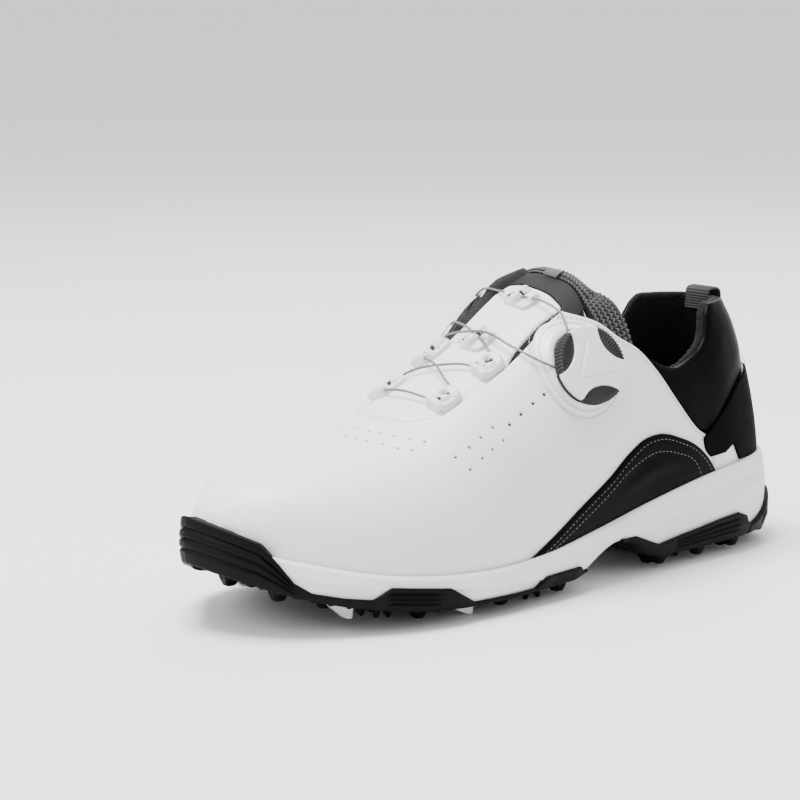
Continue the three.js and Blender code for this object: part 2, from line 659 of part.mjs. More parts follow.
const FORE_OUTLINE = [
  [138.4, 7.8], [142.6, 11.2], [163.8, 11], [169.4, 7.2], [203.5, 7.6], [215.5, 14.8], [240.9, 18],
  [248, 13.7], [258, 15], [268.6, 17.4], [274.3, 21.5], [279.6, 29.8], [284.4, 36.4], [300, 44.5],
  [320, 47], [320, -10], [138.4, -10],
];
const HEEL_OUTLINE = [
  [115.5, 16.6], [106, 17.2], [91.7, 11.5], [77.2, 13.4], [51.2, 16.2], [40.2, 17], [34.5, 15],
  [32.8, 11.3], [32.4, -10], [115.5, -10],
];
const BUMPER_OUTLINE = [
  [31.8, 9], [21.3, 12.4], [13, 16.5], [4, 21], [-30, 22], [-30, -10], [31.8, -10],
];

function cleatPlace([t, y]) {
  const slope = Math.atan2(underside(t + 4) - underside(t - 4), 8);
  const axis = new THREE.Vector3(Math.sin(slope), 0, Math.cos(slope));
  return { foot: point(t, y, underside(t)), axis };
}

function buildSole() {
  const midRim = soleBody((s) => {
    const low = underside(s.t);
    const top = s.feather - GAP;
    return [[1.2, top], [4.6, top * 0.62 + low * 0.38], [4.2, top * 0.25 + low * 0.75], [2.8, low]];
  });
  const core = (extra, below) => soleBody((s) => {
    const low = underside(s.t) + 3.2 - extra;
    return [[0.4 + extra, s.feather - below], [0.4 + extra, low]];
  });
  const outer = soleBody((s) => {
    const low = underside(s.t);
    return [[2.8, 58], [4.2, 44], [6.4, s.feather], [6.2, low + 5], [4.2, low]];
  });
  const outlines = [FORE_OUTLINE, HEEL_OUTLINE, BUMPER_OUTLINE];
  const rooms = outlines.map((outline) => sidePrism(grown(outline, GAP)));

  // Spaces for the cleats' inserts.
  const places = Object.entries(CLEATS).map(([name, at]) => ({ name, ...cleatPlace(at) }));
  const pockets = places.map(({ foot, axis }) => (
    turned(disc(CLEAT.insert + GAP, -4, 4.2), foot, axis, 10)));

  let midsole = midRim;
  for (const room of rooms) midsole = midsole.subtract(room);
  midsole = midsole.add(core(0, 1));
  for (const pocket of pockets) midsole = midsole.subtract(pocket);
  midsole = midsole.subtract(shankBody(GAP));
  add('midsole', midsole, COLOUR.white, 0.6);
  add('shank', shankBody(0), COLOUR.steel, 0.4, 0.8);

  const upperRoom = lastBody(-GAP - 0.1, 0);
  const shell = outer.subtract(core(GAP, -2)).subtract(upperRoom);
  const pieces = {
    outsole_forefoot: [FORE_OUTLINE, COLOUR.black],
    outsole_heel: [HEEL_OUTLINE, COLOUR.black],
    heel_bumper: [BUMPER_OUTLINE, COLOUR.black],
  };
  for (const [name, [outline, colour]] of Object.entries(pieces)) {
    let body = shell.intersect(sidePrism(outline));
    for (const lug of lugs(name)) body = body.add(lug);
    for (const pocket of pockets) body = body.subtract(pocket);
    add(name, body, colour, 0.7);
  }

  for (const { name, foot, axis } of places) {
    const insert = turned(ring(CLEAT.stud + GAP, CLEAT.insert, 0.3, 3.9), foot, axis, 10);
    add(`cleat_insert_${name}`, insert, COLOUR.dark, 0.5);
    add(`cleat_${name}`, cleatBody(foot, axis), COLOUR.matte, 0.6);
  }
}

// Light claws under the forefoot's edges: t of the tall rear end, y, depth.
const CLAWS = {
  claw_lateral_front: [247, -34, 4.6], claw_lateral_rear: [198, -47, 3.9],
  claw_medial_front: [247, 33, 4.6], claw_medial_rear: [198, 38, 3.9],
};
function buildClaws() {
  for (const [name, [t, y, depth]] of Object.entries(CLAWS)) {
    const top = (at) => underside(at) - 3 * GAP;
    const side = [[t, top(t)], [t + 11, top(t + 11)], [t + 3, top(t) - depth + 0.3],
      [t + 0.6, top(t) - depth]];
    add(name, sidePrism(side, CENTRE_Y + y - 1.8, CENTRE_Y + y + 1.8), COLOUR.light, 0.5);
  }
}

// The steel shank under the lasting board follows the arch.
function shankBody(extra) {
  const loops = [];
  for (let i = 0; i <= 8; i += 1) {
    const t = 58 + i * 12 + (i === 0 ? -extra : 0) + (i === 8 ? extra : 0);
    const high = section(uAt(t)).feather - GAP - 0.5 + extra * 4;
    const low = high - 1.4 - extra * 5;
    const wide = 7 + extra;
    loops.push([point(t, -wide, low), point(t, wide, low), point(t, wide, high),
      point(t, -wide, high)]);
  }
  return loft(loops);
}

// Moulded lugs under each outsole piece: a tapered block each.
const LUGS = {
  outsole_forefoot: [[150, -44], [182, -46], [222, -44], [250, -22], [266, -14], [266, 18],
    [252, 22], [216, 38], [184, 36], [150, 32], [182, 14], [218, -16], [218, 12], [246, 2]],
  outsole_heel: [[88, -32], [88, 26], [41, -28], [41, 24], [54, -8], [54, 8]],
  heel_bumper: [[14, -16], [14, 15], [22, 0]],
};
function lugs(name) {
  return LUGS[name].map(([t, y]) => {
    const top = underside(t) + 1.6;
    const low = underside(t) - 4.2;
    const corner = (half, z) => [point(t + half, y - half, z), point(t + half, y + half, z),
      point(t - half, y + half, z), point(t - half, y - half, z)];
    return loft([corner(2.2, low), corner(3.6, top)]);
  });
}

function cleatBody(foot, axis) {
  let body = turned([[0, -2.0], [CLEAT.disc * 0.9, -2.0], [CLEAT.disc, -0.3],
    [CLEAT.stud, -0.3], [CLEAT.stud, 3.4], [0, 3.4]], foot, axis, 10);
  for (let i = 0; i < CLEAT.legs; i += 1) {
    const angle = i * 2 * Math.PI / CLEAT.legs;
    const leg = new THREE.CylinderGeometry(1.9, 1.1, CLEAT.height - 1.2, 4);
    leg.rotateX(Math.PI / 2);
    leg.translate(Math.cos(angle) * 5.8, Math.sin(angle) * 5.8, -(CLEAT.height + 1.2) / 2);
    body = body.add(along(leg, foot, axis));
  }
  return body;
}

// ---------------------------------------------------------------- inside the shoe

function insideBody(inset, low, high) {
  const loops = [];
  for (let i = 0; i <= ROWS; i += 1) {
    const u = i / ROWS;
    const z = section(u).feather;
    loops.push([outside(u, 1, -inset, z + high), outside(u, 1, -inset, z + low),
      outside(u, -1, -inset, z + low), outside(u, -1, -inset, z + high)]);
  }
  return loft(loops);
}

// ---------------------------------------------------------------- build

buildUpper();
buildTongue();
buildGuides();
buildDial();
buildPullLoop();
buildSole();
buildClaws();
add('lace', tube(LACE_RADIUS), COLOUR.grey, 0.4);
add('lasting_board', insideBody(7.6, 0, 1.8), COLOUR.board, 0.9);
add('sockliner', insideBody(7.8, 2.1, 6.0), COLOUR.knit, 0.9);

export default shoe;
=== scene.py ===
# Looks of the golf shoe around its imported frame: leather panels, padding, stitches,
# lace, dial, moulded sole and studs. Lengths are in millimetres until a mesh is made.
#
# "t" is the distance forward from the back of the heel, "y" the sideways distance from
# the last's centre line (negative on the lateral side) and "z" the height.
# u runs from the heel (0) to the toe (1); v from the lateral feather edge (-1) over the
# ridge (0) to the medial feather edge (1).

import math

import bpy
import numpy as np
from mathutils import Matrix, Vector, kdtree
from mathutils.bvhtree import BVHTree
from mathutils.geometry import delaunay_2d_cdt


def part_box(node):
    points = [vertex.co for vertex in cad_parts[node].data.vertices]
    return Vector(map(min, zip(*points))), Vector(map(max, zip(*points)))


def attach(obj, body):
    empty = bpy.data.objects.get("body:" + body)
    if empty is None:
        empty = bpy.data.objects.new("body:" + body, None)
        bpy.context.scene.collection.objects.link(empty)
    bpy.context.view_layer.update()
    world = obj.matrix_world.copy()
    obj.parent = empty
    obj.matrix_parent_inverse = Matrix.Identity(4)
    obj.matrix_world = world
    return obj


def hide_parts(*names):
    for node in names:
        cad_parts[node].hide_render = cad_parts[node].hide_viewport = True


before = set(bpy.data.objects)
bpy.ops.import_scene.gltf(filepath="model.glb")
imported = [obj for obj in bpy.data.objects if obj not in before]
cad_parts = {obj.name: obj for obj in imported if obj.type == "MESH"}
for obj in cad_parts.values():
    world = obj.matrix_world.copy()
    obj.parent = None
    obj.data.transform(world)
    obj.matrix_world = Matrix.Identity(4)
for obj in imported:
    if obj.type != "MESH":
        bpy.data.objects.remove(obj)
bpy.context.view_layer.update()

MM = 0.001
SAME_PLACE = 0.001      # points nearer than this are one, in millimetres

# ---------------------------------------------------------------- camera

CAMERA_PLACE = Vector((-0.7266, -0.8327, 0.2656))
CAMERA_TARGET = Vector((0.01797, 0.08038, 0.060))
CAMERA_LENS = 123.98
CAMERA_ROLL = math.radians(-0.2)


def make_camera():
    data = bpy.data.cameras.new("camera")
    data.lens = CAMERA_LENS
    data.sensor_width = 36
    data.clip_start = 0.05
    data.clip_end = 20
    camera = bpy.data.objects.new("camera", data)
    bpy.context.scene.collection.objects.link(camera)
    turn = (CAMERA_TARGET - CAMERA_PLACE).to_track_quat("-Z", "Y")
    roll = Matrix.Rotation(CAMERA_ROLL, 4, "Z")
    camera.matrix_world = Matrix.Translation(CAMERA_PLACE) @ turn.to_matrix().to_4x4() @ roll
    bpy.context.scene.camera = camera


make_camera()

# ---------------------------------------------------------------- the last

HEEL_X = 148.67
CENTRE_Y = 2.08
FLAT_LENGTH = 330.0
FLAT_GIRTH = 130.0

# t, lateral and medial feather edge, feather height, ridge side and height, fullness of
# the lateral and of the medial wall.
SECTIONS = np.array([
    [4, 0, 0, 38, 0, 138, 2.2, 2.2],
    [7, -14, 14, 38, 0, 138, 2.2, 2.2],
    [16, -24, 23, 38, 0, 138, 2.2, 2.2],
    [32, -31, 29, 37, 1, 138, 2.2, 2.2],
    [60, -35, 33, 34, 3, 136, 2.3, 2.4],
    [95, -38, 35, 28, 7, 127, 2.5, 2.8],
    [130, -43, 37, 22, 9, 110, 2.5, 3.0],
    [160, -48, 40, 18, 7, 93, 2.4, 2.8],
    [190, -52, 43, 17, 4, 79, 2.35, 2.6],
    [215, -51, 45, 18, 3, 68.4, 2.35, 2.3],
    [240, -46, 45, 21, 4, 63, 2.4, 2.3],
    [262, -36, 38, 26, 5, 59.4, 2.5, 2.4],
    [280, -22, 21.5, 31, 5, 53.8, 2.5, 2.5],
    [288.6, -9, 12, 34, 4, 45.9, 2.4, 2.4],
    [292.5, 5, 5, 36, 5, 36, 2.2, 2.2],
], float)
HEEL_LEAN = np.array([[36, 0], [50, 1.5], [70, 6], [90, 12], [105, 18], [150, 32]], float)
LEAN_REACH = 90.0
INSTEP = {"height": 8, "t": 126, "reach_t": 24, "v": 0.3, "reach_v": 0.22}


def units(rows):
    return rows / (np.linalg.norm(rows, axis=1)[:, None] + 1e-12)


def run_along(points):
    """The distance along a line of points, at each of them."""
    return np.concatenate([[0], np.cumsum(np.linalg.norm(np.diff(points, axis=0), axis=1))])


def round_angles(count):
    return np.arange(count) * 2 * math.pi / count


def slopes_of(at, rows):
    rise = np.diff(rows, axis=0) / np.diff(at)[:, None]
    gaps = np.diff(at)[:, None]
    inner = (rise[:-1] * gaps[1:] + rise[1:] * gaps[:-1]) / (gaps[:-1] + gaps[1:])
    return np.vstack([rise[:1], inner, rise[-1:]])


def hermite(at, rows, slopes, x):
    """Rows at x, by cubic steps through the rows at the places in at."""
    x = np.clip(np.asarray(x, float), at[0], at[-1])
    i = np.clip(np.searchsorted(at, x, side="right") - 1, 0, len(at) - 2)
    h = (at[i + 1] - at[i])[:, None]
    s = ((x - at[i]) / h[:, 0])[:, None]
    a = 2 * s ** 3 - 3 * s ** 2 + 1
    b = (s ** 3 - 2 * s ** 2 + s) * h
    d = (s ** 3 - s ** 2) * h
    return a * rows[i] + b * slopes[i] + (1 - a) * rows[i + 1] + d * slopes[i + 1]


def section_places():
    step = np.diff(SECTIONS, axis=0)
    length = np.sqrt(step[:, 0] ** 2 + (step[:, 1] ** 2 + step[:, 2] ** 2) / 2)
    at = np.concatenate([[0], np.cumsum(length)])
    return at / at[-1]


AT = section_places()
SLOPES = slopes_of(AT, SECTIONS)
SLOPES[0, 0] = 0      # the heel and the toe close in a round
SLOPES[-1, 0] = 0
LEAN_Z = np.arange(20.0, 160.0, 1.0)
LEAN = np.convolve(np.interp(np.arange(12.0, 168.0, 1.0), HEEL_LEAN[:, 0], HEEL_LEAN[:, 1]),
                   np.ones(17) / 17, "valid")


def section(u):
    return hermite(AT, SECTIONS, SLOPES, np.atleast_1d(u))


FINE_U = np.linspace(0, 1, 4001)
FINE_T = np.maximum.accumulate(section(FINE_U)[:, 0])


def u_at(t):
    return np.interp(t, FINE_T, FINE_U)


def smoothstep(x):
    x = np.clip(x, 0, 1)
    return x * x * (3 - 2 * x)


def rounding(distance, reach, depth):
    """How far an edge's round lies below the surface, at a distance from the edge."""
    k = 1 - np.clip(distance / reach, 0, 1)
    return depth * (1 - np.sqrt(np.clip(1 - k ** 2, 0, 1)))


def lean(t, z):
    near = np.clip(1 - t / LEAN_REACH, 0, 1)
    return np.interp(z, LEAN_Z, LEAN) * near * near * (3 - 2 * near)


def bare(u, v):
    s = section(u)
    lateral = v < 0
    full = np.where(lateral, s[:, 6], s[:, 7])
    edge = np.where(lateral, s[:, 1], s[:, 2])
    angle = (1 - np.abs(v)) * math.pi / 2
    out = np.clip(np.cos(angle), 0, 1) ** (2 / full)
    up = np.clip(np.sin(angle), 0, 1) ** (2 / full)
    z = s[:, 3] + (s[:, 5] - s[:, 3]) * up
    t = s[:, 0] + lean(s[:, 0], z)
    return np.stack([HEEL_X - t, CENTRE_Y + s[:, 4] + (edge - s[:, 4]) * out, z], 1)


def normal_of(surface, u, v):
    e = 0.002
    a = np.clip(u, e, 1 - e)
    b = np.clip(v, -1 + e, 1 - e)
    along = surface(a + e, b) - surface(a - e, b)
    across = surface(a, b + e) - surface(a, b - e)
    n = np.cross(across, along)
    n[:, 1] *= smoothstep(np.minimum(u, 1 - u) / 0.006)
    return units(n)


def skin(u, v):
    at = bare(u, v)
    t = HEEL_X - at[:, 0]
    reach = ((t - INSTEP["t"]) / INSTEP["reach_t"]) ** 2
    reach = reach + ((v - INSTEP["v"]) / INSTEP["reach_v"]) ** 2
    rise = INSTEP["height"] * np.exp(-reach) * smoothstep((v + 0.35) / 0.3)
    near = np.nonzero(rise > 0.01)[0]
    if len(near):
        at[near] += normal_of(bare, u[near], v[near]) * rise[near, None]
    return at


def normals(u, v):
    return normal_of(skin, u, v)


def surface(u, v, height=0.0):
    u, v = np.atleast_1d(u).astype(float), np.atleast_1d(v).astype(float)
    return skin(u, v) + normals(u, v) * np.reshape(height * np.ones(len(u)), (-1, 1))


def jacobian(u, v):
    e = 1e-3
    u1, u0 = np.clip(u + e, 0, 1), np.clip(u - e, 0, 1)
    v1, v0 = np.clip(v + e, -1, 1), np.clip(v - e, -1, 1)
    ju = (skin(u1, v) - skin(u0, v)) / (u1 - u0)[:, None]
    jv = (skin(u, v1) - skin(u, v0)) / (v1 - v0)[:, None]
    return ju, jv


def nudge(u, v, step):
    """(u, v) moved by a small step in space along the skin."""
    ju, jv = jacobian(u, v)
    a, b, c = (ju * ju).sum(1), (ju * jv).sum(1), (jv * jv).sum(1)
    p, q = (ju * step).sum(1), (jv * step).sum(1)
    det = np.maximum(a * c - b * b, 1e-6)
    return u + (c * p - b * q) / det, v + (a * q - b * p) / det


def solve(u, v, x, other, axis, side=None):
    """(u, v) where the skin has that x and that y (axis 1) or z (axis 2)."""
    for _ in range(10):
        p = skin(u, v)
        ju, jv = jacobian(u, v)
        rx, ro = x - p[:, 0], other - p[:, axis]
        det = ju[:, 0] * jv[:, axis] - jv[:, 0] * ju[:, axis]
        det = np.where(np.abs(det) < 50, np.sign(det + 1e-9) * 50, det)
        du = (rx * jv[:, axis] - jv[:, 0] * ro) / det
        dv = (ju[:, 0] * ro - rx * ju[:, axis]) / det
        u = np.clip(u + np.clip(du, -0.05, 0.05), 0, 1)
        v = np.clip(v + np.clip(dv, -0.1, 0.1), -1, 1)
        if side is not None:
            v = side * np.abs(v)
    return u, v


def on_side(points, side):
    """(u, v) of side-view points (t, z) on one wall."""
    points = np.asarray(points, float).reshape(-1, 2)
    t, z = points[:, 0], points[:, 1]
    u = u_at(t)
    for _ in range(4):
        u = u_at(t - lean(section(u)[:, 0], z))
    s = section(u)
    up = np.clip((z - s[:, 3]) / (s[:, 5] - s[:, 3] + 1e-9), 0, 1)
    full = s[:, 6] if side < 0 else s[:, 7]
    v = side * (1 - np.arcsin(up ** (full / 2)) * 2 / math.pi)
    return np.stack(solve(u, v, HEEL_X - t, z, 2, side), 1)


def on_plan(points):
    """(u, v) of plan points (t, y) on the top."""
    points = np.asarray(points, float).reshape(-1, 2)
    t, y = points[:, 0], points[:, 1]
    u = u_at(t)
    s = section(u)
    edge = np.where(y < s[:, 4], s[:, 1], s[:, 2])
    full = np.where(y < s[:, 4], s[:, 6], s[:, 7])
    out = np.clip((y - s[:, 4]) / (edge - s[:, 4]), 0, 0.999)
    v = np.where(y < s[:, 4], -1, 1) * (1 - np.arccos(out ** (full / 2)) * 2 / math.pi)
    return np.stack(solve(u, v, HEEL_X - t, CENTRE_Y + y, 1), 1)


def top_point(t, y, height):
    u, v = on_plan([[t, y]]).T
    return surface(u, v, height)[0]


def wall_point(side, t, z, height):
    u, v = on_side([[t, z]], side).T
    return surface(u, v, height)[0]


# ---------------------------------------------------------------- outlines

def smooth(points, step=1.2):
    """A smooth open curve through the points, in steps."""
    points = np.asarray(points, float)
    at = run_along(points)
    slopes = slopes_of(at, points)
    count = max(int(at[-1] / step), len(points))
    return hermite(at, points, slopes, np.linspace(0, at[-1], count + 1))


def outline(strokes, closing=()):
    """A closed outline: smooth strokes that follow each other, then straight corners."""
    rows = [smooth(stroke)[:-1] for stroke in strokes]
    return np.vstack([*rows, [strokes[-1][-1]], *[[c] for c in closing]])


def inside(polygon, x, y):
    x0, y0 = polygon[:, 0], polygon[:, 1]
    x1, y1 = np.roll(x0, -1), np.roll(y0, -1)
    hit = np.zeros(len(x), bool)
    for a, b, c, d in zip(x0, y0, x1, y1):
        if b == d:
            continue
        crosses = (b > y) != (d > y)
        hit ^= crosses & (x < (c - a) * (y - b) / (d - b) + a)
    return hit


QUARTER_EDGE = [
    [126, 110.6], [121, 108.5], [110, 104], [103, 98], [93.5, 92], [84, 82], [73, 68], [61, 55],
    [52, 49], [50, 34], [49.5, 28],
]
BEHIND = outline([QUARTER_EDGE], [[50, -20], [-40, -20], [-40, 180], [126, 180]])
TOPLINE_EDGE = [
    [-40, 106], [20, 106], [38, 106], [44, 105.6], [47, 102.5], [49, 98], [51.5, 92.5], [56, 88],
    [63, 84.5], [72, 82.2], [80, 84], [87, 87.5], [96, 92], [125, 100],
]
ABOVE_TOPLINE = outline([TOPLINE_EDGE], [[125, 180], [-40, 180]])
FOXING_EDGE = [[52, 20], [52, 43], [46, 50], [34, 64], [20, 75], [8, 80], [-40, 80]]
FOXING = outline([FOXING_EDGE], [[-40, -20], [52, -20]])
STRAP_TOP = [[-40, 76], [10, 76], [24, 74.5], [35, 69], [47.5, 59], [58.5, 50.5]]
STRAP_NOTCH = ([[58.5, 50.5], [57.6, 46], [54, 42]], [[54, 42], [44.5, 42.6]],
               [[44.5, 42.6], [38.5, 45.6]], [[38.5, 45.6], [34, 38.2]])
STRAP = outline([STRAP_TOP, *STRAP_NOTCH, [[34, 38.2], [-40, 38.2]]])
SADDLE_TOP = [
    [178, 14], [160, 22], [138, 33], [118, 43], [105, 51], [96, 55], [85, 56], [74, 53],
    [64, 48.5], [56, 42], [50, 34],
]
SADDLE = outline([SADDLE_TOP], [[50, 8], [178, 8]])
SADDLE_SEAM = [
    [160, 18.2], [151, 22], [125, 34], [102, 46], [89.5, 49], [77, 47], [66, 42], [61, 34],
]
THROAT_EDGE = [
    [100, 28], [118, 28.5], [124, 29.2], [130, 29.5], [141, 28.5], [153, 27.5], [165, 27],
    [176, 27], [187, 27], [197, 25], [203.5, 17], [207, 5], [206.5, -6], [203.5, -15.5],
    [197, -21], [187, -21.5], [176, -20.5], [165, -20], [153, -19], [141, -17.5], [131, -15.5],
    [121, -15], [100, -15],
]
THROAT = outline([THROAT_EDGE])
TONGUE = outline([[
    [212, 4], [209, -14], [200, -26], [176, -26], [163, -22.5], [155, -18.9], [149, -16],
    [143, -14.4], [134, -13.3], [126, -13.2], [120.5, -13.4], [119.3, -8], [118.8, 4],
    [119.6, 14], [123, 18.2], [134, 18.2], [145, 18.6], [153, 20], [163, 24], [176, 29],
    [200, 30], [209, 20], [212, 4]]])
BAND = outline([
    [[125, 19.2], [119, 22.5], [113, 21.6], [110.4, 15], [110, 4], [110, -10], [111.8, -19]],
    [[111.8, -19], [118, -20.5], [121.8, -19.5], [122, -5], [122.5, 12], [125, 19.2]]])
GORE_LATERAL = outline([
    [[200, -22], [176, -21], [160, -15], [150, -11.5], [134, -10.5], [117, -11]],
    [[117, -11], [117, -22], [122.5, -24]],
    [[122.5, -24], [134, -26.5], [153, -33], [176, -35], [200, -35]]])
GORE_MEDIAL = outline([
    [[200, 27], [176, 26], [160, 20], [153, 16.5], [134, 14.5], [122.5, 14.5], [110, 17]],
    [[110, 17], [104, 26], [104.5, 33.5]],
    [[104.5, 33.5], [122.5, 32.5], [134, 32], [153, 32], [176, 33], [200, 33]]])

# ---------------------------------------------------------------- meshes


def link(mesh, body, slot, *materials):
    piece = bpy.data.objects.new(mesh.name, mesh)
    bpy.context.scene.collection.objects.link(piece)
    for m in materials:
        mesh.materials.append(m)
    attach(piece, body)
    return piece


def stand_in(mesh, node, slot, *materials, body="root"):
    """A piece that takes the place of a node of the frame."""
    piece = link(mesh, body, slot, *materials)
    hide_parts(node)
    return piece


def mesh_of(name, points, faces, sharp=50):
    mesh = bpy.data.meshes.new(name)
    mesh.from_pydata((np.asarray(points) * MM).tolist(), [], [list(map(int, f)) for f in faces])
    mesh.validate()
    mesh.shade_smooth()
    mesh.set_sharp_from_angle(angle=math.radians(sharp))
    return mesh


def merged(name, points, faces, sharp):
    """A mesh whose points in the same place are one."""
    key = np.round(points / SAME_PLACE).astype(np.int64)
    _, first, place = np.unique(key, axis=0, return_index=True, return_inverse=True)
    place = place.reshape(-1)
    clean = []
    for face in faces:
        row = []
        for i in face:
            j = place[i]
            if not row or (row[-1] != j and row[0] != j):
                row.append(j)
        if len(set(row)) == len(row) and len(row) > 2:
            clean.append(row)
    return mesh_of(name, points[first], clean, sharp)


def to_uv(q, heel):
    a, b = q[:, 0] / FLAT_LENGTH, q[:, 1] / FLAT_GIRTH
    if heel:
        return np.abs(a), np.where(a < 0, -1, 1) * b
    return a, b


def from_uv(uv, heel):
    u, v = uv[:, 0], uv[:, 1]
    if heel:
        return np.stack([np.sign(v) * u * FLAT_LENGTH, np.abs(v) * FLAT_GIRTH], 1)
    return np.stack([u * FLAT_LENGTH, v * FLAT_GIRTH], 1)


def wall_curve(points, side):
    """The stretches of a side-view curve that lie on the last, as (u, v) runs."""
    points = np.asarray(points, float)
    t_back = 4 + np.interp(points[:, 1], LEAN_Z, LEAN)
    feather = section(u_at(points[:, 0]))[:, 3]
    room = np.minimum(points[:, 0] - t_back, points[:, 1] - feather)
    run, runs = [], []
    for i in range(len(points)):
        if i and (room[i] > 0) != (room[i - 1] > 0):
            k = room[i - 1] / (room[i - 1] - room[i])
            run.append(points[i - 1] + (points[i] - points[i - 1]) * k)
            if room[i] <= 0:
                runs.append(run)
                run = []
        if room[i] > 0:
            run.append(points[i])
    if len(run) > 1:
        runs.append(run)
    return [on_side(r, side) for r in runs if len(r) > 1]


def grid_points(u0, u1, step):
    rows = []
    length = (u1 - u0) * FLAT_LENGTH
    for k, u in enumerate(np.linspace(u0, u1, max(int(length / step), 1) + 1)):
        v = np.linspace(-1, 1, 161)
        p = skin(np.full(161, u), v)
        run = run_along(p)
        count = max(int(run[-1] / step), 3)
        places = (np.arange(count) + (0.5 if k % 2 else 0.0)) * run[-1] / count
        rows.append(np.stack([np.full(count, u), np.interp(places, run, v)], 1))
    return np.vstack(rows)


def frame_lines(u0, u1, step):
    lines = []
    for side in (-1, 1):
        u = np.linspace(u0, u1, max(int((u1 - u0) * FLAT_LENGTH / step), 2) + 1)
        lines.append(np.stack([u, np.full(len(u), side * 1.0)], 1))
    return lines


def nearest(points, targets):
    tree = kdtree.KDTree(len(targets))
    for i, p in enumerate(targets):
        tree.insert(p, i)
    tree.balance()
    return np.array([tree.find(p)[2] for p in points])


def densify(a, b, step):
    out = []
    for p, q in zip(a, b):
        n = max(int(np.linalg.norm(q - p) / step), 1)
        out.append(p + (q - p) * (np.arange(n)[:, None] / n))
    return np.vstack(out)


def ring_points(uv, distances):
    """Points beside a curve on the skin, on both of its sides."""
    p, n = skin(uv[:, 0], uv[:, 1]), normals(uv[:, 0], uv[:, 1])
    aside = units(np.cross(n, np.gradient(p, axis=0)))
    rows = []
    for d in distances:
        for sign in (-1, 1):
            u, v = nudge(uv[:, 0], uv[:, 1], aside * d * sign)
            rows.append(np.stack([u, v], 1))
    rows = np.vstack(rows)
    good = (rows[:, 0] > 0) & (rows[:, 0] < 1) & (np.abs(rows[:, 1]) < 1)
    return rows[good]


HOLE_DEPTH = 0.9
# The floor of each punched hole gets painted shade out to this share of its radius.
HOLE_SHADE = 0.744      # the dark floor's radius, in radii of the hole


def at_hole(place):
    """The point and normal at one (u, v) place."""
    u, v = np.array([place[0]]), np.array([place[1]])
    return skin(u, v)[0], normals(u, v)[0]


def hole_points(place, radius):
    """Rings of points round a punched hole, that give its wall a clean shape."""
    _, n = at_hole(place)
    first = np.cross(n, [0, 1, 0.3])
    first /= np.linalg.norm(first)
    second = np.cross(n, first)
    rows = [np.array([place])]
    for size, count in ((1.5, 12), (1.15, 12), (0.85, 12), (0.6, 10)):
        a = round_angles(count)
        away = (np.outer(np.cos(a), first) + np.outer(np.sin(a), second)) * radius * size
        u, v = nudge(np.full(count, place[0]), np.full(count, place[1]), away)
        rows.append(np.stack([u, v], 1))
    return np.vstack(rows)


def facing_of(p, triangles):
    """A vector across each triangle, twice as long as its area."""
    a, b, c = p[triangles[:, 0]], p[triangles[:, 1]], p[triangles[:, 2]]
    return np.cross(b - a, c - a)


def cut_sheet(curves, keep, span, heel, rim, step, holes):
    """(u, v) points and triangles of the part of the skin that keep accepts."""
    lines = frame_lines(*span, 1.6) + [np.asarray(c) for c in curves if len(c) > 1]
    corners, edges = [], []
    for line in lines:
        first = len(corners)
        corners.extend(from_uv(line, heel).tolist())
        edges.extend((first + i, first + i + 1) for i in range(len(line) - 1))
    special = [ring_points(c, [rim * 0.12, rim * 0.4, rim, rim * 1.9]) for c in lines]
    special = np.vstack(special + [hole_points(*hole) for hole in holes])
    grid = grid_points(*span, step)
    known = np.vstack([*lines, special])
    grid = grid[nearest(surface(*grid.T), surface(*known.T)) > step * 0.55]
    corners.extend(np.vstack([from_uv(special, heel), from_uv(grid, heel)]).tolist())
    made = delaunay_2d_cdt([Vector(c) for c in corners], edges, [], 0, 1e-5)
    q = np.array([tuple(c) for c in made[0]])
    triangles = np.array([f for f in made[2] if len(f) == 3])
    u, v = to_uv(q, heel)
    u, v = np.clip(u, 0, 1), np.clip(v, -1, 1)
    mu, mv = to_uv(q[triangles].mean(1), heel)
    middle = skin(np.clip(mu, 0, 1), np.clip(mv, -1, 1))
    good = (np.abs(mv) <= 1) & (mu >= span[0]) & (mu <= span[1])
    good &= keep(HEEL_X - middle[:, 0], middle[:, 1] - CENTRE_Y, middle[:, 2])
    good &= np.linalg.norm(facing_of(skin(u, v), triangles), axis=1) > 1e-5
    used, index = np.unique(triangles[good], return_inverse=True)
    return u[used], v[used], index.reshape(-1, 3)


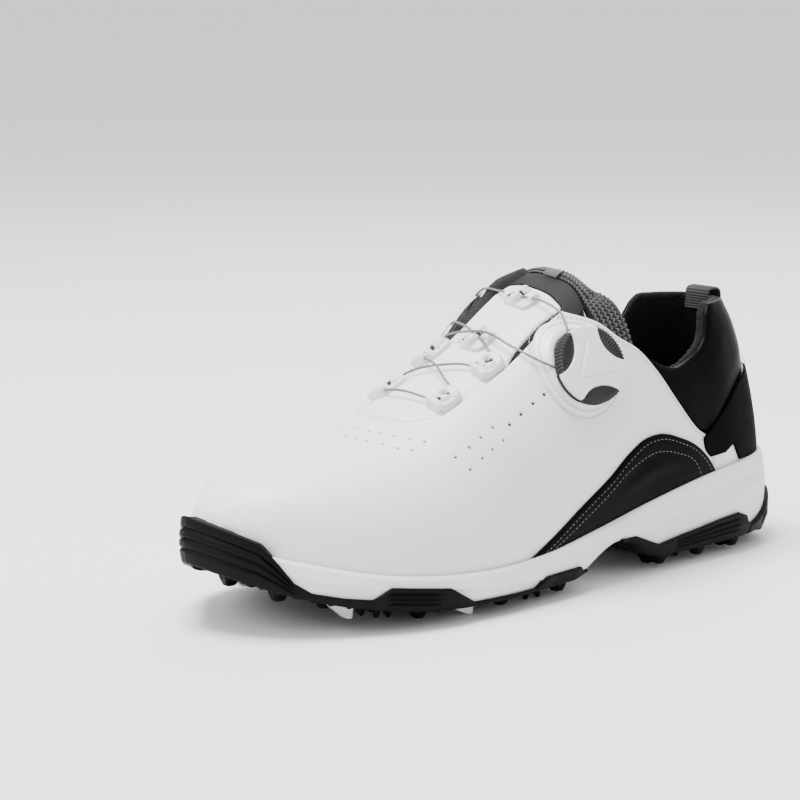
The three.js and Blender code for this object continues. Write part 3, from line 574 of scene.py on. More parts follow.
def panel(name, curves, keep, span, heel=False, top=0.0, thickness=1.4, rim=0.7, step=2.2,
          relief=None, holes=(), shade=None):
    """A sheet on the last, cut by curves: a closed mesh with rounded edges.

    keep says which points (t, y, z) belong to it, span is its u range, relief adds a
    height from (t, y, z) and the distance to the edge, holes are (place, radius), and
    shade says where, in (t, y), the second material shows: a painted shade, also on hole floors.
    """
    u, v, triangles = cut_sheet(curves, keep, span, heel, rim, step, holes)
    p, n = skin(u, v), normals(u, v)
    flip = (facing_of(p, triangles) * n[triangles[:, 0]]).sum(1) < 0
    triangles[flip] = triangles[flip][:, ::-1]
    directed = np.vstack([triangles[:, [0, 1]], triangles[:, [1, 2]], triangles[:, [2, 0]]])
    pairs = {(a, b) for a, b in directed.tolist()}
    border = np.array([e for e in directed.tolist() if (e[1], e[0]) not in pairs])
    d = nearest(p, densify(p[border[:, 0]], p[border[:, 1]], 0.35))
    height = top - rounding(d, rim, rim)
    if relief is not None:
        height = height + relief(HEEL_X - p[:, 0], p[:, 1] - CENTRE_Y, p[:, 2], d)
    centre = p[triangles].mean(1)
    # Faces that take the second material, a painted shade: hole floors and the places that shade
    # picks.
    dark = np.zeros(len(triangles), bool)
    for place, radius in holes:
        c, _ = at_hole(place)
        away = np.linalg.norm(p - c, axis=1)
        height = height - HOLE_DEPTH * smoothstep((1.2 * radius - away) / (0.4 * radius))
        # painted shade on the floor of the hole
        dark |= np.linalg.norm(centre - c, axis=1) < HOLE_SHADE * radius
    if shade is not None:
        dark |= shade(HEEL_X - centre[:, 0], centre[:, 1] - CENTRE_Y)
    count = len(p)
    walls = [(a + count, b + count, b, a) for a, b in border.tolist()]
    faces = triangles.tolist() + (triangles[:, ::-1] + count).tolist() + walls
    outer, inner = p + n * height[:, None], p + n * (top - thickness)
    mesh = mesh_of(name, np.vstack([outer, inner]), faces)
    if dark.any():
        index = np.zeros(len(mesh.polygons), np.int32)
        index[:len(triangles)] = dark
        mesh.polygons.foreach_set("material_index", index)
    return mesh


def band_faces(first, rings, n, caps=True, flip=False):
    """Faces between rings of n points that follow each other, and flat end caps."""
    faces = []
    for i in range(rings - 1):
        for j in range(n):
            a, b = first + i * n + j, first + i * n + (j + 1) % n
            faces.append((a, b, b + n, a + n))
    if caps:
        last = first + (rings - 1) * n
        faces += [tuple(range(first, first + n))[::-1], tuple(range(last, last + n))]
    return [face[::-1] for face in faces] if flip else faces


def loft(name, loops, caps=True, sharp=50):
    """Loops of points skinned one to the next."""
    faces = band_faces(0, len(loops), len(loops[0]), caps)
    return merged(name, np.vstack(loops), faces, sharp)


def frames_along(path):
    """Tangents and two steady cross directions along a path."""
    tangent = units(np.gradient(path, axis=0))
    side = np.zeros_like(path)
    reference = np.array([0.0, 0.0, 1.0])
    if abs(tangent[0] @ reference) > 0.9:
        reference = np.array([1.0, 0.0, 0.0])
    last = np.cross(tangent[0], reference)
    for i, t in enumerate(tangent):
        last = last - t * (last @ t)
        last /= np.linalg.norm(last)
        side[i] = last
    return tangent, side, np.cross(tangent, side)


def between(run, rows, places):
    """Rows that belong to the distances in run, read at other distances."""
    return np.stack([np.interp(places, run, rows[:, k]) for k in range(3)], 1)


def resample(path, step):
    path = np.asarray(path, float)
    run = run_along(path)
    places = np.linspace(0, run[-1], max(int(run[-1] / step), 1) + 1)
    return between(run, path, places)


def stitch_shapes(path, up, pitch, length, thread):
    """Small round-ended stitches laid end to end along a path on a surface."""
    run = run_along(path)
    places = np.arange(pitch * 0.5, run[-1], pitch)
    centre = between(run, path, places)
    ahead, behind = between(run, path, places + 0.3), between(run, path, places - 0.3)
    n = units(between(run, up, places))
    return capsules(centre, ahead - behind, n, length, thread, thread)


def capsules(centre, along, n, length, width, height):
    """Rods with round ends and six sides, sunk at their ends."""
    along = units(along)
    across = units(np.cross(n, along))
    places = np.array([-0.5, -0.42, -0.2, 0.2, 0.42, 0.5])
    sizes = np.array([0.12, 0.7, 1.0, 1.0, 0.7, 0.12])
    sink = np.array([-0.6, -0.1, 0.0, 0.0, -0.1, -0.6])
    angles = round_angles(6)
    points, faces = [], []
    for c, a, b, m in zip(centre, along, across, n):
        base = len(points)
        for x, s, k in zip(places, sizes, sink):
            for g in angles:
                points.append(c + a * x * length + b * math.cos(g) * s * width / 2
                              + m * ((math.sin(g) * s + k) * height / 2))
        faces += band_faces(base, len(places), len(angles))
    return points, faces


def sew(name, rows, slot, material, body="root", sharp=180):
    """One piece of all the stitches of the given rows."""
    points, faces = [], []
    for row_points, row_faces in rows:
        base = len(points)
        points.extend(row_points)
        faces.extend(tuple(base + i for i in f) for f in row_faces)
    mesh = mesh_of(name, points, faces, sharp)
    return link(mesh, body, slot, material)


def skin_row(uv, inset, height, pitch, length, thread=0.34):
    """Stitches beside a curve on the skin; inset is positive to the left of its way."""
    uv = np.asarray(uv, float)
    p, n = skin(uv[:, 0], uv[:, 1]), normals(uv[:, 0], uv[:, 1])
    aside = units(np.cross(n, np.gradient(p, axis=0)))
    path = p + aside * inset + n * height
    return stitch_shapes(path, n, pitch, length, thread)


# ---------------------------------------------------------------- materials

def new_material(name):
    m = bpy.data.materials.new(name)
    m.use_nodes = True
    nodes, links = m.node_tree.nodes, m.node_tree.links
    shader = nodes["Principled BSDF"]
    return m, nodes, links, shader


def finish_material(name, colour, rough, grain=(), spread=0.04, rough_spread=0.06, metal=0.0,
                    coat=0.0, coat_rough=0.2, sheen=0.0, specular=0.5, bump=0.3, depth=0.0002,
                    cloud=40.0, speck=0.0):
    """A surface with cloudy colour, uneven gloss and a relief of grain layers.

    grain holds (kind, scale per metre, weight); kinds are pebble, noise, ribs_x and ribs_y.
    """
    m, nodes, links, shader = new_material(name)
    shader.inputs["Metallic"].default_value = metal
    shader.inputs["Coat Weight"].default_value = coat
    shader.inputs["Coat Roughness"].default_value = coat_rough
    shader.inputs["Sheen Weight"].default_value = sheen
    shader.inputs["Specular IOR Level"].default_value = specular
    place = nodes.new("ShaderNodeTexCoord").outputs["Object"]

    def texture(kind, scale, detail=None):
        made = nodes.new(f"ShaderNodeTex{kind}")
        made.inputs["Scale"].default_value = scale
        if detail is not None:
            made.inputs["Detail"].default_value = detail
        links.new(place, made.inputs["Vector"])
        return made

    def math_node(operation, first, second):
        made = nodes.new("ShaderNodeMath")
        made.operation = operation
        links.new(first, made.inputs[0])
        if isinstance(second, float):
            made.inputs[1].default_value = second
        else:
            links.new(second, made.inputs[1])
        return made.outputs[0]

    ramp = nodes.new("ShaderNodeValToRGB")
    ramp.color_ramp.elements[0].position = 0.3
    ramp.color_ramp.elements[1].position = 0.7
    ramp.color_ramp.elements[0].color = (*[max(c * (1 - spread), 0) for c in colour], 1)
    ramp.color_ramp.elements[1].color = (*[min(c * (1 + spread), 1) for c in colour], 1)
    links.new(texture("Noise", cloud, 5).outputs["Fac"], ramp.inputs["Fac"])
    tone = ramp.outputs["Color"]

    gloss = nodes.new("ShaderNodeMapRange")
    gloss.inputs["To Min"].default_value = max(rough - rough_spread, 0.02)
    gloss.inputs["To Max"].default_value = min(rough + rough_spread, 1)
    links.new(texture("Noise", cloud * 7, 4).outputs["Fac"], gloss.inputs["Value"])
    links.new(gloss.outputs["Result"], shader.inputs["Roughness"])

    total = None
    for kind, scale, weight in grain:
        if kind == "pebble":
            value, weight = texture("Voronoi", scale).outputs["Distance"], -weight
        elif kind == "noise":
            value = texture("Noise", scale, 4).outputs["Fac"]
        else:
            ribs = texture("Wave", scale / math.pi, 1)
            ribs.bands_direction = kind[-1].upper()
            ribs.inputs["Distortion"].default_value = 0.6
            value = ribs.outputs["Fac"]
        part = math_node("MULTIPLY", value, weight)
        total = part if total is None else math_node("ADD", total, part)
        if speck:
            mix = nodes.new("ShaderNodeMix")
            mix.data_type = "RGBA"
            mix.blend_type = "MULTIPLY"
            mix.inputs["Factor"].default_value = speck
            links.new(tone, mix.inputs["A"])
            links.new(value, mix.inputs["B"])
            tone = mix.outputs["Result"]
    links.new(tone, shader.inputs["Base Color"])
    if total is not None:
        relief = nodes.new("ShaderNodeBump")
        relief.inputs["Strength"].default_value = bump
        relief.inputs["Distance"].default_value = depth
        links.new(total, relief.inputs["Height"])
        links.new(relief.outputs["Normal"], shader.inputs["Normal"])
    return m


def grey(value, warm=0.0):
    return (value * (1 + warm), value, value * (1 - warm))


WHITE_LEATHER = finish_material(
    "white_leather", grey(0.76), 0.42, [("pebble", 1500, 1.0), ("noise", 420, 0.8)],
    spread=0.012, bump=0.22, depth=0.00012, coat=0.08, coat_rough=0.35, cloud=18)
BLACK_LEATHER = finish_material(
    "black_leather", grey(0.001), 0.34, [("pebble", 1300, 1.0), ("noise", 500, 0.7)],
    spread=0.25, bump=0.3, depth=0.00014, specular=0.035)
MATTE_BLACK = finish_material(
    "matte_black", grey(0.001), 0.62, [("pebble", 2600, 1.0), ("noise", 1500, 0.6)],
    spread=0.3, bump=0.6, depth=0.00018, specular=0.025)
LINING = finish_material(
    "lining", grey(0.010), 0.85, [("pebble", 520, 1.0), ("noise", 2600, 0.5)],
    spread=0.25, bump=0.75, depth=0.0005, sheen=0.03, speck=0.35, specular=0.1)
LIGHT_LINING = finish_material(
    "light_lining", grey(0.55), 0.9, [("ribs_x", 1300, 0.6), ("ribs_y", 1300, 0.6)],
    bump=0.5, depth=0.0003, sheen=0.3)
KNIT_BASE = finish_material(
    "knit_base", grey(0.012), 0.9, [("noise", 2500, 1.0)], spread=0.3, bump=0.6,
    depth=0.0003, specular=0.15)
KNIT_YARN = finish_material(
    "knit_yarn", grey(0.03), 0.8, [("noise", 5000, 1.0)], spread=0.5, bump=0.5,
    depth=0.0001, sheen=0.4, cloud=260)
BAND_GREY = finish_material(
    "band_grey", grey(0.012), 0.6, [("noise", 1900, 0.8), ("pebble", 2600, 0.5)],
    spread=0.1, bump=0.3, depth=0.0001, specular=0.12)
ELASTIC = finish_material(
    "elastic", grey(0.009), 0.85, [("ribs_x", 1250, 1.0), ("noise", 3000, 0.6)],
    spread=0.5, bump=0.9, depth=0.0004, sheen=0.05, specular=0.2, cloud=300)
FOAM = finish_material(
    "foam", grey(0.05), 0.95, [("pebble", 1800, 1.0), ("noise", 2500, 0.6)], bump=0.7,
    depth=0.0004, sheen=0.2)
BOARD = finish_material(
    "board", (0.42, 0.34, 0.24), 0.85, [("noise", 900, 1.0)], spread=0.12, bump=0.4,
    depth=0.0002)
MIDSOLE = finish_material(
    "midsole", grey(0.74), 0.46, [("noise", 700, 1.0), ("noise", 2600, 0.4)], spread=0.015,
    bump=0.10, depth=0.00012, cloud=14)
OUTSOLE = finish_material(
    "outsole", grey(0.0026), 0.50, [("noise", 900, 1.0), ("pebble", 2600, 0.4)], spread=0.3,
    bump=0.25, depth=0.00016, specular=0.07)
CLEAT = finish_material(
    "cleat", grey(0.0035), 0.55, [("noise", 900, 1.0)], spread=0.3, bump=0.2, depth=0.0001,
    specular=0.1)
INSERT = finish_material(
    "insert", grey(0.06), 0.6, [("noise", 900, 1.0)], spread=0.2, bump=0.2, depth=0.0001)
CLAW = finish_material(
    "claw", grey(0.62), 0.4, [("noise", 700, 1.0)], spread=0.05, bump=0.15, depth=0.0001)
GUIDE = finish_material(
    "guide", grey(0.66), 0.34, [("noise", 1100, 1.0)], spread=0.015, bump=0.10,
    depth=0.00008)
LACE = finish_material(
    "lace", grey(0.15), 0.42, [("noise", 4200, 1.0)], spread=0.25, bump=0.3, depth=0.00005,
    metal=0.35, cloud=300)
DIAL_WHITE = finish_material(
    "dial_white", grey(0.72), 0.30, [("noise", 1400, 1.0)], spread=0.012, bump=0.06,
    depth=0.00006, coat=0.15, coat_rough=0.2)
DIAL_DARK = finish_material(
    "dial_dark", grey(0.03), 0.45, [("noise", 1500, 1.0)], spread=0.15, bump=0.15,
    depth=0.00008)
GRIP = finish_material(
    "grip", grey(0.018), 0.6, [("noise", 2200, 1.0)], spread=0.15, bump=0.25,
    depth=0.0001, specular=0.25)
METAL = finish_material(
    "metal", grey(0.55), 0.28, [("noise", 1500, 1.0)], spread=0.06, bump=0.1, depth=0.00004,
    metal=1.0)
WEBBING = finish_material(
    "webbing", grey(0.008), 0.8, [("noise", 2800, 1.0)], spread=0.35, bump=0.5,
    depth=0.0002, sheen=0.08, cloud=300)
TAB_GREY = finish_material(
    "tab_grey", grey(0.025), 0.7, [("ribs_x", 1500, 1.0), ("noise", 3000, 0.5)], spread=0.2,
    bump=0.6, depth=0.0002, sheen=0.3)
THREAD_WHITE = finish_material(
    "thread_white", grey(0.36), 0.6, [("noise", 5200, 1.0)], bump=0.4, depth=0.00005,
    sheen=0.2)
THREAD_GREY = finish_material(
    "thread_grey", grey(0.09), 0.6, [("noise", 5200, 1.0)], spread=0.2, bump=0.4,
    depth=0.00005, sheen=0.2, cloud=300)
# Painted shade: a near-black material for the floors of punched holes and of the guides' slots,
# standing in for the shade inside them.
PAINTED_SHADE = finish_material(
    "painted_shade", grey(0.02), 0.9, [("noise", 2500, 1.0)], bump=0.3, depth=0.0002)

# ---------------------------------------------------------------- the dial's frame

DIAL_FOOT = wall_point(-1, 125.3, 86.9, 0.0)
DIAL_AXIS = np.array([-0.1, -0.905, 0.413])
DIAL_AXIS /= np.linalg.norm(DIAL_AXIS)
ANCHOR_UV = on_side([[131, 88]], 1)[0]
ANCHOR_FOOT = surface(*ANCHOR_UV)[0]
ANCHOR_AXIS = normals(np.array([ANCHOR_UV[0]]), np.array([ANCHOR_UV[1]]))[0]


def disc_directions(axis):
    ahead = np.array([-1.0, 0, 0]) - axis * -axis[0]
    ahead /= np.linalg.norm(ahead)
    upward = np.array([0, 0, 1.0]) - axis * axis[2]
    upward /= np.linalg.norm(upward)
    return ahead, upward


def on_disc(foot, axis, forward, up, height):
    ahead, upward = disc_directions(axis)
    return foot + ahead * forward + upward * up + axis * height


def dial_point(forward, up, height):
    return on_disc(DIAL_FOOT, DIAL_AXIS, forward, up, height)


def anchor_point(forward, up, height):
    return on_disc(ANCHOR_FOOT, ANCHOR_AXIS, forward, up, height)


# ---------------------------------------------------------------- the lace

LACE_RADIUS = 0.5
LACE_ROUTE = [
    dial_point(12.3, 1.0, 1.9),
    dial_point(15.5, 2.4, 1.9),
    top_point(148.5, -15, 1.5),
    top_point(149.5, 0, 2.4),
    top_point(151.5, 8, 2.4),
    top_point(155, 19, 1.4),
    top_point(158, 22, 0.2),
    top_point(163, 22, 0.0),
    top_point(166.5, 18, 0.9),
    top_point(172, 4, 2.3),
    top_point(177.5, -8.5, 1.4),
    top_point(179, -13.5, 0.4),
    top_point(183, -16, 0.1),
    top_point(187.5, -14, 0.4),
    top_point(189, -9, 1.0),
    top_point(189.8, 3, 1.6),
    top_point(189.6, 14, 1.0),
    top_point(187.5, 20, 0.2),
    top_point(182, 22, 0.0),
    top_point(178, 20.5, 0.4),
    top_point(175, 14, 0.9),
    top_point(170, 3, 1.0),
    top_point(165.5, -8, 0.8),
    top_point(164, -13, 0.3),
    top_point(160, -15.5, 0.1),
    top_point(156.5, -13, 0.4),
    top_point(154.5, -7, 0.9),
    top_point(151.5, 1, 0.9),
    top_point(149.5, 8, 0.9),
    top_point(146.5, 20, -0.6),
    top_point(145, 26, -0.6),
    top_point(143, 32, 0.7),
    anchor_point(13.6, 2, 1.7),
    anchor_point(7.6, -4, 1.7),
    anchor_point(1.5, -7, 1.5),
    anchor_point(-5, -4.5, 1.5),
    anchor_point(-6, 2.5, 1.5),
    anchor_point(-2, 9, 1.9),
    anchor_point(1, 15, 1.6),
    top_point(128.5, 32.5, 0.7),
    top_point(128.3, 25, -0.2),
    top_point(128, 18, -0.4),
    top_point(127.5, 8, 0.9),
    top_point(127, 2, 1.0),
    top_point(125, -8, 1.6),
    top_point(124, -16, 2.0),
    dial_point(4.2, 15.6, 2.0),
    dial_point(3.4, 11.9, 1.9),
]
LACE_PATH = resample(smooth(LACE_ROUTE, 0.6), 0.7)


def make_lace():
    """A round lace of five twisted strands."""
    strands, around, turns_per_mm = 5, 20, 0.09
    _, side, up = frames_along(LACE_PATH)
    angles = np.arange(around) * 2 * math.pi / around
    loops = []
    for i, centre in enumerate(LACE_PATH):
        twist = 2 * math.pi * turns_per_mm * 0.7 * i
        r = LACE_RADIUS * (0.93 + 0.09 * np.abs(np.cos(strands * (angles - twist) / 2)))
        loops.append(centre + (r * np.cos(angles))[:, None] * side[i]
                     + (r * np.sin(angles))[:, None] * up[i])
    stand_in(loft("lace_cable", loops, sharp=80), "lace", "lace", LACE)


# ---------------------------------------------------------------- the upper

def both_walls(points):
    return wall_curve(points, -1) + wall_curve(points, 1)


SMALL_HOLE, BIG_HOLE, TOE_HOLE = 0.72, 0.95, 0.62
BIG_HOLES = [[147.3, 79.1], [153.8, 76.3], [161.1, 72.9], [168.1, 69.8]]
SMALL_HOLES = [
    [176.2, 69.5], [183.4, 66.5], [190.1, 63.6], [197.6, 60.7],
    [174, 64.6], [180.7, 62], [186.8, 59.4], [194, 56.1],
]
TOE_HOLES = [
    [215, 1.3], [214.9, -5.5], [213.2, -10.9], [211.2, -16.5], [208.1, -22.5], [204.5, -27.3],
    [221.3, -6], [220.6, -11.4], [217.5, -17.5], [214.9, -23.4], [210.9, -27.7], [221.4, 1],
]


def perforations():
    holes = []
    for side in (-1, 1):
        holes += [(uv, BIG_HOLE) for uv in on_side(BIG_HOLES, side)]
        holes += [(uv, SMALL_HOLE) for uv in on_side(SMALL_HOLES, side)]
    mirrored = [[t, 8 - y] for t, y in TOE_HOLES if y < 0.5]
    holes += [(uv, TOE_HOLE) for uv in on_plan(TOE_HOLES + mirrored)]
    return holes


def on_wall(points, side):
    """(u, v) of points in space, laid on one wall."""
    return on_side(np.stack([HEEL_X - points[:, 0], points[:, 2]], 1), side)


def wall_circle(disc_point, radius, side, angles):
    points = [disc_point(radius * math.cos(a), radius * math.sin(a), 0) for a in angles]
    return on_wall(np.array(points), side)


def dial_circle(radius):
    return wall_circle(dial_point, radius, -1, FULL_TURN)


def off_dial(t, y, z, radius):
    p = np.stack([HEEL_X - t, CENTRE_Y + y, z], 1) - DIAL_FOOT
    flat = p - np.outer(p @ DIAL_AXIS, DIAL_AXIS)
    return np.linalg.norm(flat, axis=1) - radius


FULL_TURN = np.linspace(0, 2 * math.pi, 73)
QUARTER_CURVE = BEHIND[:len(smooth(QUARTER_EDGE))]
DIAL_HOLE, DIAL_FLANGE = 13.3, 18.6


def make_quarters():
    def keep(t, y, z):
        return (~inside(BEHIND, t, z) & ~inside(THROAT, t, y)
                & ((y > 0) | (off_dial(t, y, z, DIAL_HOLE) > 0)))

    def relief(t, y, z, d):
        swell = 0.35 * smoothstep((d - 2.2) / 3.0)          # the leather swells past its seams
        press = -0.45 * np.exp(-(off_dial(t, y, z, 19.6) / 1.6) ** 2) * (y < 0)
        return swell - 0.35 + press

    curves = both_walls(QUARTER_CURVE) + [on_plan(THROAT), dial_circle(DIAL_HOLE)]
    # The punched holes are shallow dimples with floors of painted shade.
    mesh = panel("quarters_leather", curves, keep, (0.1, 0.9965), relief=relief,
                 holes=perforations(), rim=0.8)
    stand_in(mesh, "vamp_and_quarters", "white_leather", WHITE_LEATHER, PAINTED_SHADE)
    rows = []
    for side, inset in ((-1, -1.7), (1, 1.7)):
        for run in wall_curve(smooth(QUARTER_EDGE[2:]), side):
            rows.append(skin_row(run, inset, 0.02, 2.1, 1.5))
    throat = on_plan(smooth(THROAT_EDGE[3:-2]))
    rows.append(skin_row(throat, 1.8, 0.02, 2.0, 1.4))
    circle = dial_circle(21.0)
    rows.append(skin_row(circle, 0, 0.08, 2.0, 1.4, 0.36))
    sew("quarter_stitches", rows, "white_leather", THREAD_WHITE)


def make_collar():
    def keep(t, y, z):
        return inside(BEHIND, t, z) & ~inside(ABOVE_TOPLINE, t, z) & ~inside(FOXING, t, z)

    topline = ABOVE_TOPLINE[:len(smooth(TOPLINE_EDGE))]
    foxing = FOXING[:len(smooth(FOXING_EDGE))]

    def relief(t, y, z, d):
        return 0.9 * smoothstep(d / 12) - 0.6

    curves = both_walls(QUARTER_CURVE) + both_walls(topline) + both_walls(foxing)
    mesh = panel("collar_leather", curves, keep, (0.0, 0.45), heel=True, rim=2.0,
                 thickness=2.8, relief=relief, step=1.9)
    stand_in(mesh, "collar_panel", "black_leather", BLACK_LEATHER)

    def keep_foxing(t, y, z):
        return inside(BEHIND, t, z) & inside(FOXING, t, z)

    mesh = panel("foxing_leather", both_walls(QUARTER_CURVE) + both_walls(foxing),
                 keep_foxing, (0.0, 0.25), heel=True, rim=0.7, top=-0.2)
    stand_in(mesh, "heel_foxing", "white_leather", WHITE_LEATHER)


def make_strap():
    def keep(t, y, z):
        return inside(STRAP, t, z) & ~inside(SADDLE, t, z)

    curves = both_walls(STRAP) + both_walls(SADDLE_TOP)
    mesh = panel("strap_overlay", curves, keep, (0.0, 0.3), heel=True, top=0.9,
                 thickness=0.9, rim=0.5, step=1.9)
    stand_in(mesh, "heel_strap", "matte_black", MATTE_BLACK)
    rows = []
    for side, inset in ((-1, -1.6), (1, 1.6)):
        for run in wall_curve(smooth(STRAP_TOP), side):
            rows.append(skin_row(run, inset, 0.9, 2.1, 1.4, 0.32))
    sew("strap_stitches", rows, "matte_black", MATTE_BLACK)


SADDLE_HEIGHT = 1.45


def make_saddles():
    def relief(t, y, z, d):
        band = smoothstep((d - 1.4) / 1.2)
        return 0.25 * band + 0.5 * smoothstep((d - 8) / 5)

    rows = []
    for side, name in ((-1, "lateral"), (1, "medial")):
        def keep(t, y, z, side=side):
            return inside(SADDLE, t, z) & (side * y > 0)

        edge = wall_curve(smooth(SADDLE_TOP), side)
        mesh = panel(f"saddle_{name}_leather", edge, keep, (0.1, 0.72), top=SADDLE_HEIGHT,
                     thickness=1.3, rim=0.8, relief=relief, step=1.9)
        stand_in(mesh, f"saddle_{name}", "black_leather", BLACK_LEATHER)
        for run in edge:
            rows.append(skin_row(run, side * 2.2, SADDLE_HEIGHT + 0.12, 2.3, 1.35))
        for run in wall_curve(smooth(SADDLE_SEAM), side):
            rows.append(skin_row(run, 0, SADDLE_HEIGHT + 0.34, 2.3, 1.35))
    sew("saddle_stitches", rows, "black_leather", THREAD_GREY)


# ---------------------------------------------------------------- the tongue

KNIT_FRONT = [[111.3, -36], [111.3, -28], [111.3, -20], [109.6, -10], [109.6, 4], [109.6, 18],
              [112, 26.8], [112, 33]]
KNIT_REAR = [[93, -36], [93, -30], [96, -23], [103.2, -15], [104, 4], [105.5, 20], [106.5, 28],
             [107, 33]]


def make_tongue():
    def keep(t, y, z):
        return inside(TONGUE, t, y)

    def relief(t, y, z, d):
        return 0.5 * smoothstep(d / 10)

    span = (float(u_at(100)), float(u_at(216)))
    mesh = panel("tongue_leather", [on_plan(TONGUE)], keep, span, top=-1.9, thickness=1.3,
                 rim=0.9, relief=relief)
    stand_in(mesh, "tongue_panel", "white_leather", WHITE_LEATHER)

    def keep_band(t, y, z):
        return inside(BAND, t, y) & ~inside(TONGUE, t, y)

    mesh = panel("tongue_band_trim", [on_plan(BAND), on_plan(TONGUE)], keep_band, span,
                 top=-1.7, thickness=1.5, rim=0.7, step=1.6)
    stand_in(mesh, "tongue_band", "tongue_band", BAND_GREY)

    pad = outline([[[210, 4], [200, -25], [176, -25], [153, -24], [134, -22], [112, -22]],
                   [[112, -22], [109, -8], [109, 18], [113, 26]],
                   [[113, 26], [134, 28], [153, 29], [176, 29], [200, 28], [210, 4]]])
    mesh = panel("tongue_padding", [on_plan(pad)], lambda t, y, z: inside(pad, t, y), span,
                 top=-4.0, thickness=2.6, rim=1.4, step=3.0)
    piece = stand_in(mesh, "tongue_pad", "foam", FOAM)

    def bulge(t, y, z, d):
        edge = np.interp(t, [104, 118, 124, 141, 153], [33, 29, 28, 27, 26])
        rise = 3.4 * smoothstep((137 - t) / 16) * smoothstep(d / 3)
        return rise * smoothstep((y - 15.5) / 4) * smoothstep((edge - y) / 2.5)

    for name, shape in (("gore_lateral", GORE_LATERAL), ("gore_medial", GORE_MEDIAL)):
        mesh = panel(f"{name}_elastic", [on_plan(shape)],
                     lambda t, y, z, shape=shape: inside(shape, t, y), span, top=-3.0,
                     thickness=0.9, rim=0.3, step=1.8, relief=bulge)
        stand_in(mesh, name, "knit", ELASTIC)


def knit_grid(count_v, count_w):
    front, rear = on_plan(smooth(KNIT_FRONT)), on_plan(smooth(KNIT_REAR))
    v0 = max(front[0, 1], rear[0, 1])
    v1 = min(front[-1, 1], rear[-1, 1])
    v = np.linspace(v0, v1, count_v)
    uf = np.interp(v, front[:, 1], front[:, 0])
    ur = np.interp(v, rear[:, 1], rear[:, 0])
    w = np.linspace(0, 1, count_w)
    return v, ur[:, None] + (uf - ur)[:, None] * w[None, :], w


def make_knit():
    """The tongue's knitted edge: a padded roll with a row of V stitches all over it."""
    count_v, count_w = 90, 17
    v, u, w = knit_grid(count_v, count_w)
    swell = np.sqrt(np.clip(1 - (2 * w - 1) ** 2, 0, 1)) ** 0.8
    outer = np.array([surface(u[i], np.full(count_w, v[i]), -3.9 + 2.4 * swell)
                      for i in range(count_v)])
    inner = np.array([surface(u[i], np.full(count_w, v[i]), -5.9 + 0.6 * (1 - swell))
                      for i in range(count_v)])
    loops = [np.vstack([outer[i], inner[i][::-1]]) for i in range(count_v)]
    mesh = loft("knit_roll", loops, sharp=80)
    piece = stand_in(mesh, "tongue_knit", "knit", KNIT_BASE)
    tree = BVHTree.FromPolygons([Vector(x) for x in outer.reshape(-1, 3)],
                                [(i * count_w + j, i * count_w + j + 1,
                                  (i + 1) * count_w + j + 1, (i + 1) * count_w + j)
                                 for i in range(count_v - 1) for j in range(count_w - 1)])
    centre, along, up = [], [], []
    rows_v, rows_w = 54, 8
    vs, us, _ = knit_grid(rows_v, rows_w)
    for i in range(1, rows_v - 1):
        for j in range(1, rows_w - 1):
            width = abs(us[i, -1] - us[i, 0]) * FLAT_LENGTH
            if width < 9 and j % 2:
                continue
            uu, vv = np.array([us[i, j]]), np.array([vs[i]])
            p, n = surface(uu, vv, 4.0)[0], normals(uu, vv)[0]
            hit, hit_normal, _, _ = tree.ray_cast(Vector(p), Vector(-n), 20)
            if hit is None:
                continue
            ju, jv = jacobian(uu, vv)
            across = jv[0] / np.linalg.norm(jv[0])
            lengthways = ju[0] / np.linalg.norm(ju[0])
            for lean_side in (-1, 1):
                centre.append(np.array(hit) + n * 0.15 + across * lean_side * 0.42)
                along.append(lengthways + across * lean_side * 0.55)
                up.append(np.array(hit_normal) * (1 if hit_normal @ Vector(n) > 0 else -1))
    shapes = capsules(np.array(centre), np.array(along), np.array(up), 2.0, 0.85, 0.7)
    sew("knit_stitches", [shapes], "knit", KNIT_YARN)


# ---------------------------------------------------------------- lining and padding

def swollen(piece, voxel, pressure, cap, fixed):
    """Puffs a closed piece up by a short cloth simulation; points at fixed stay."""
    scene = bpy.context.scene
    mod = piece.modifiers.new("remesh", "REMESH")
    mod.mode = "VOXEL"
    mod.voxel_size = voxel * MM
    apply_modifiers(piece)
    rest = np.array([v.co for v in piece.data.vertices]).reshape(-1, 3)
    group = piece.vertex_groups.new(name="held")
    held = np.nonzero(fixed(rest / MM))[0]
    group.add(held.tolist(), 1.0, "REPLACE")
    cloth = piece.modifiers.new("cloth", "CLOTH")
    cloth.settings.use_pressure = True
    cloth.settings.uniform_pressure_force = pressure
    cloth.settings.effector_weights.gravity = 0
    cloth.settings.vertex_group_mass = "held"
    cloth.point_cache.frame_start = 1
    cloth.point_cache.frame_end = 20
    for f in range(1, 21):
        scene.frame_set(f)
    dg = bpy.context.evaluated_depsgraph_get()
    moved = np.array([v.co for v in piece.evaluated_get(dg).data.vertices]).reshape(-1, 3)
    piece.modifiers.clear()
    scene.frame_set(1)
    shift = moved - rest
    size = np.linalg.norm(shift, axis=1)
    shift *= (np.minimum(size, cap * MM) / np.maximum(size, 1e-9))[:, None]
    piece.data.vertices.foreach_set("co", (rest + shift).astype(np.float32).ravel())
    smoothing = piece.modifiers.new("smooth", "SMOOTH")
    smoothing.factor = 0.5
    smoothing.iterations = 6
    apply_modifiers(piece)
    piece.data.shade_smooth()


def apply_modifiers(piece):
    dg = bpy.context.evaluated_depsgraph_get()
    fresh = bpy.data.meshes.new_from_object(piece.evaluated_get(dg))
    piece.modifiers.clear()
    old = piece.data
    piece.data = fresh
    bpy.data.meshes.remove(old)
    piece.data.name = piece.name


COLLAR_ZONE = outline([
    [[-40, 107.4], [20, 107.4], [38, 107.4], [44.6, 107], [48.2, 103.5], [50.2, 98.5],
     [52.6, 93.2], [57, 89], [63.5, 85.7], [72, 83.4], [79, 84.6], [86, 88], [94, 92.5],
     [112, 97]]],
    [[112, -20], [-40, -20]])


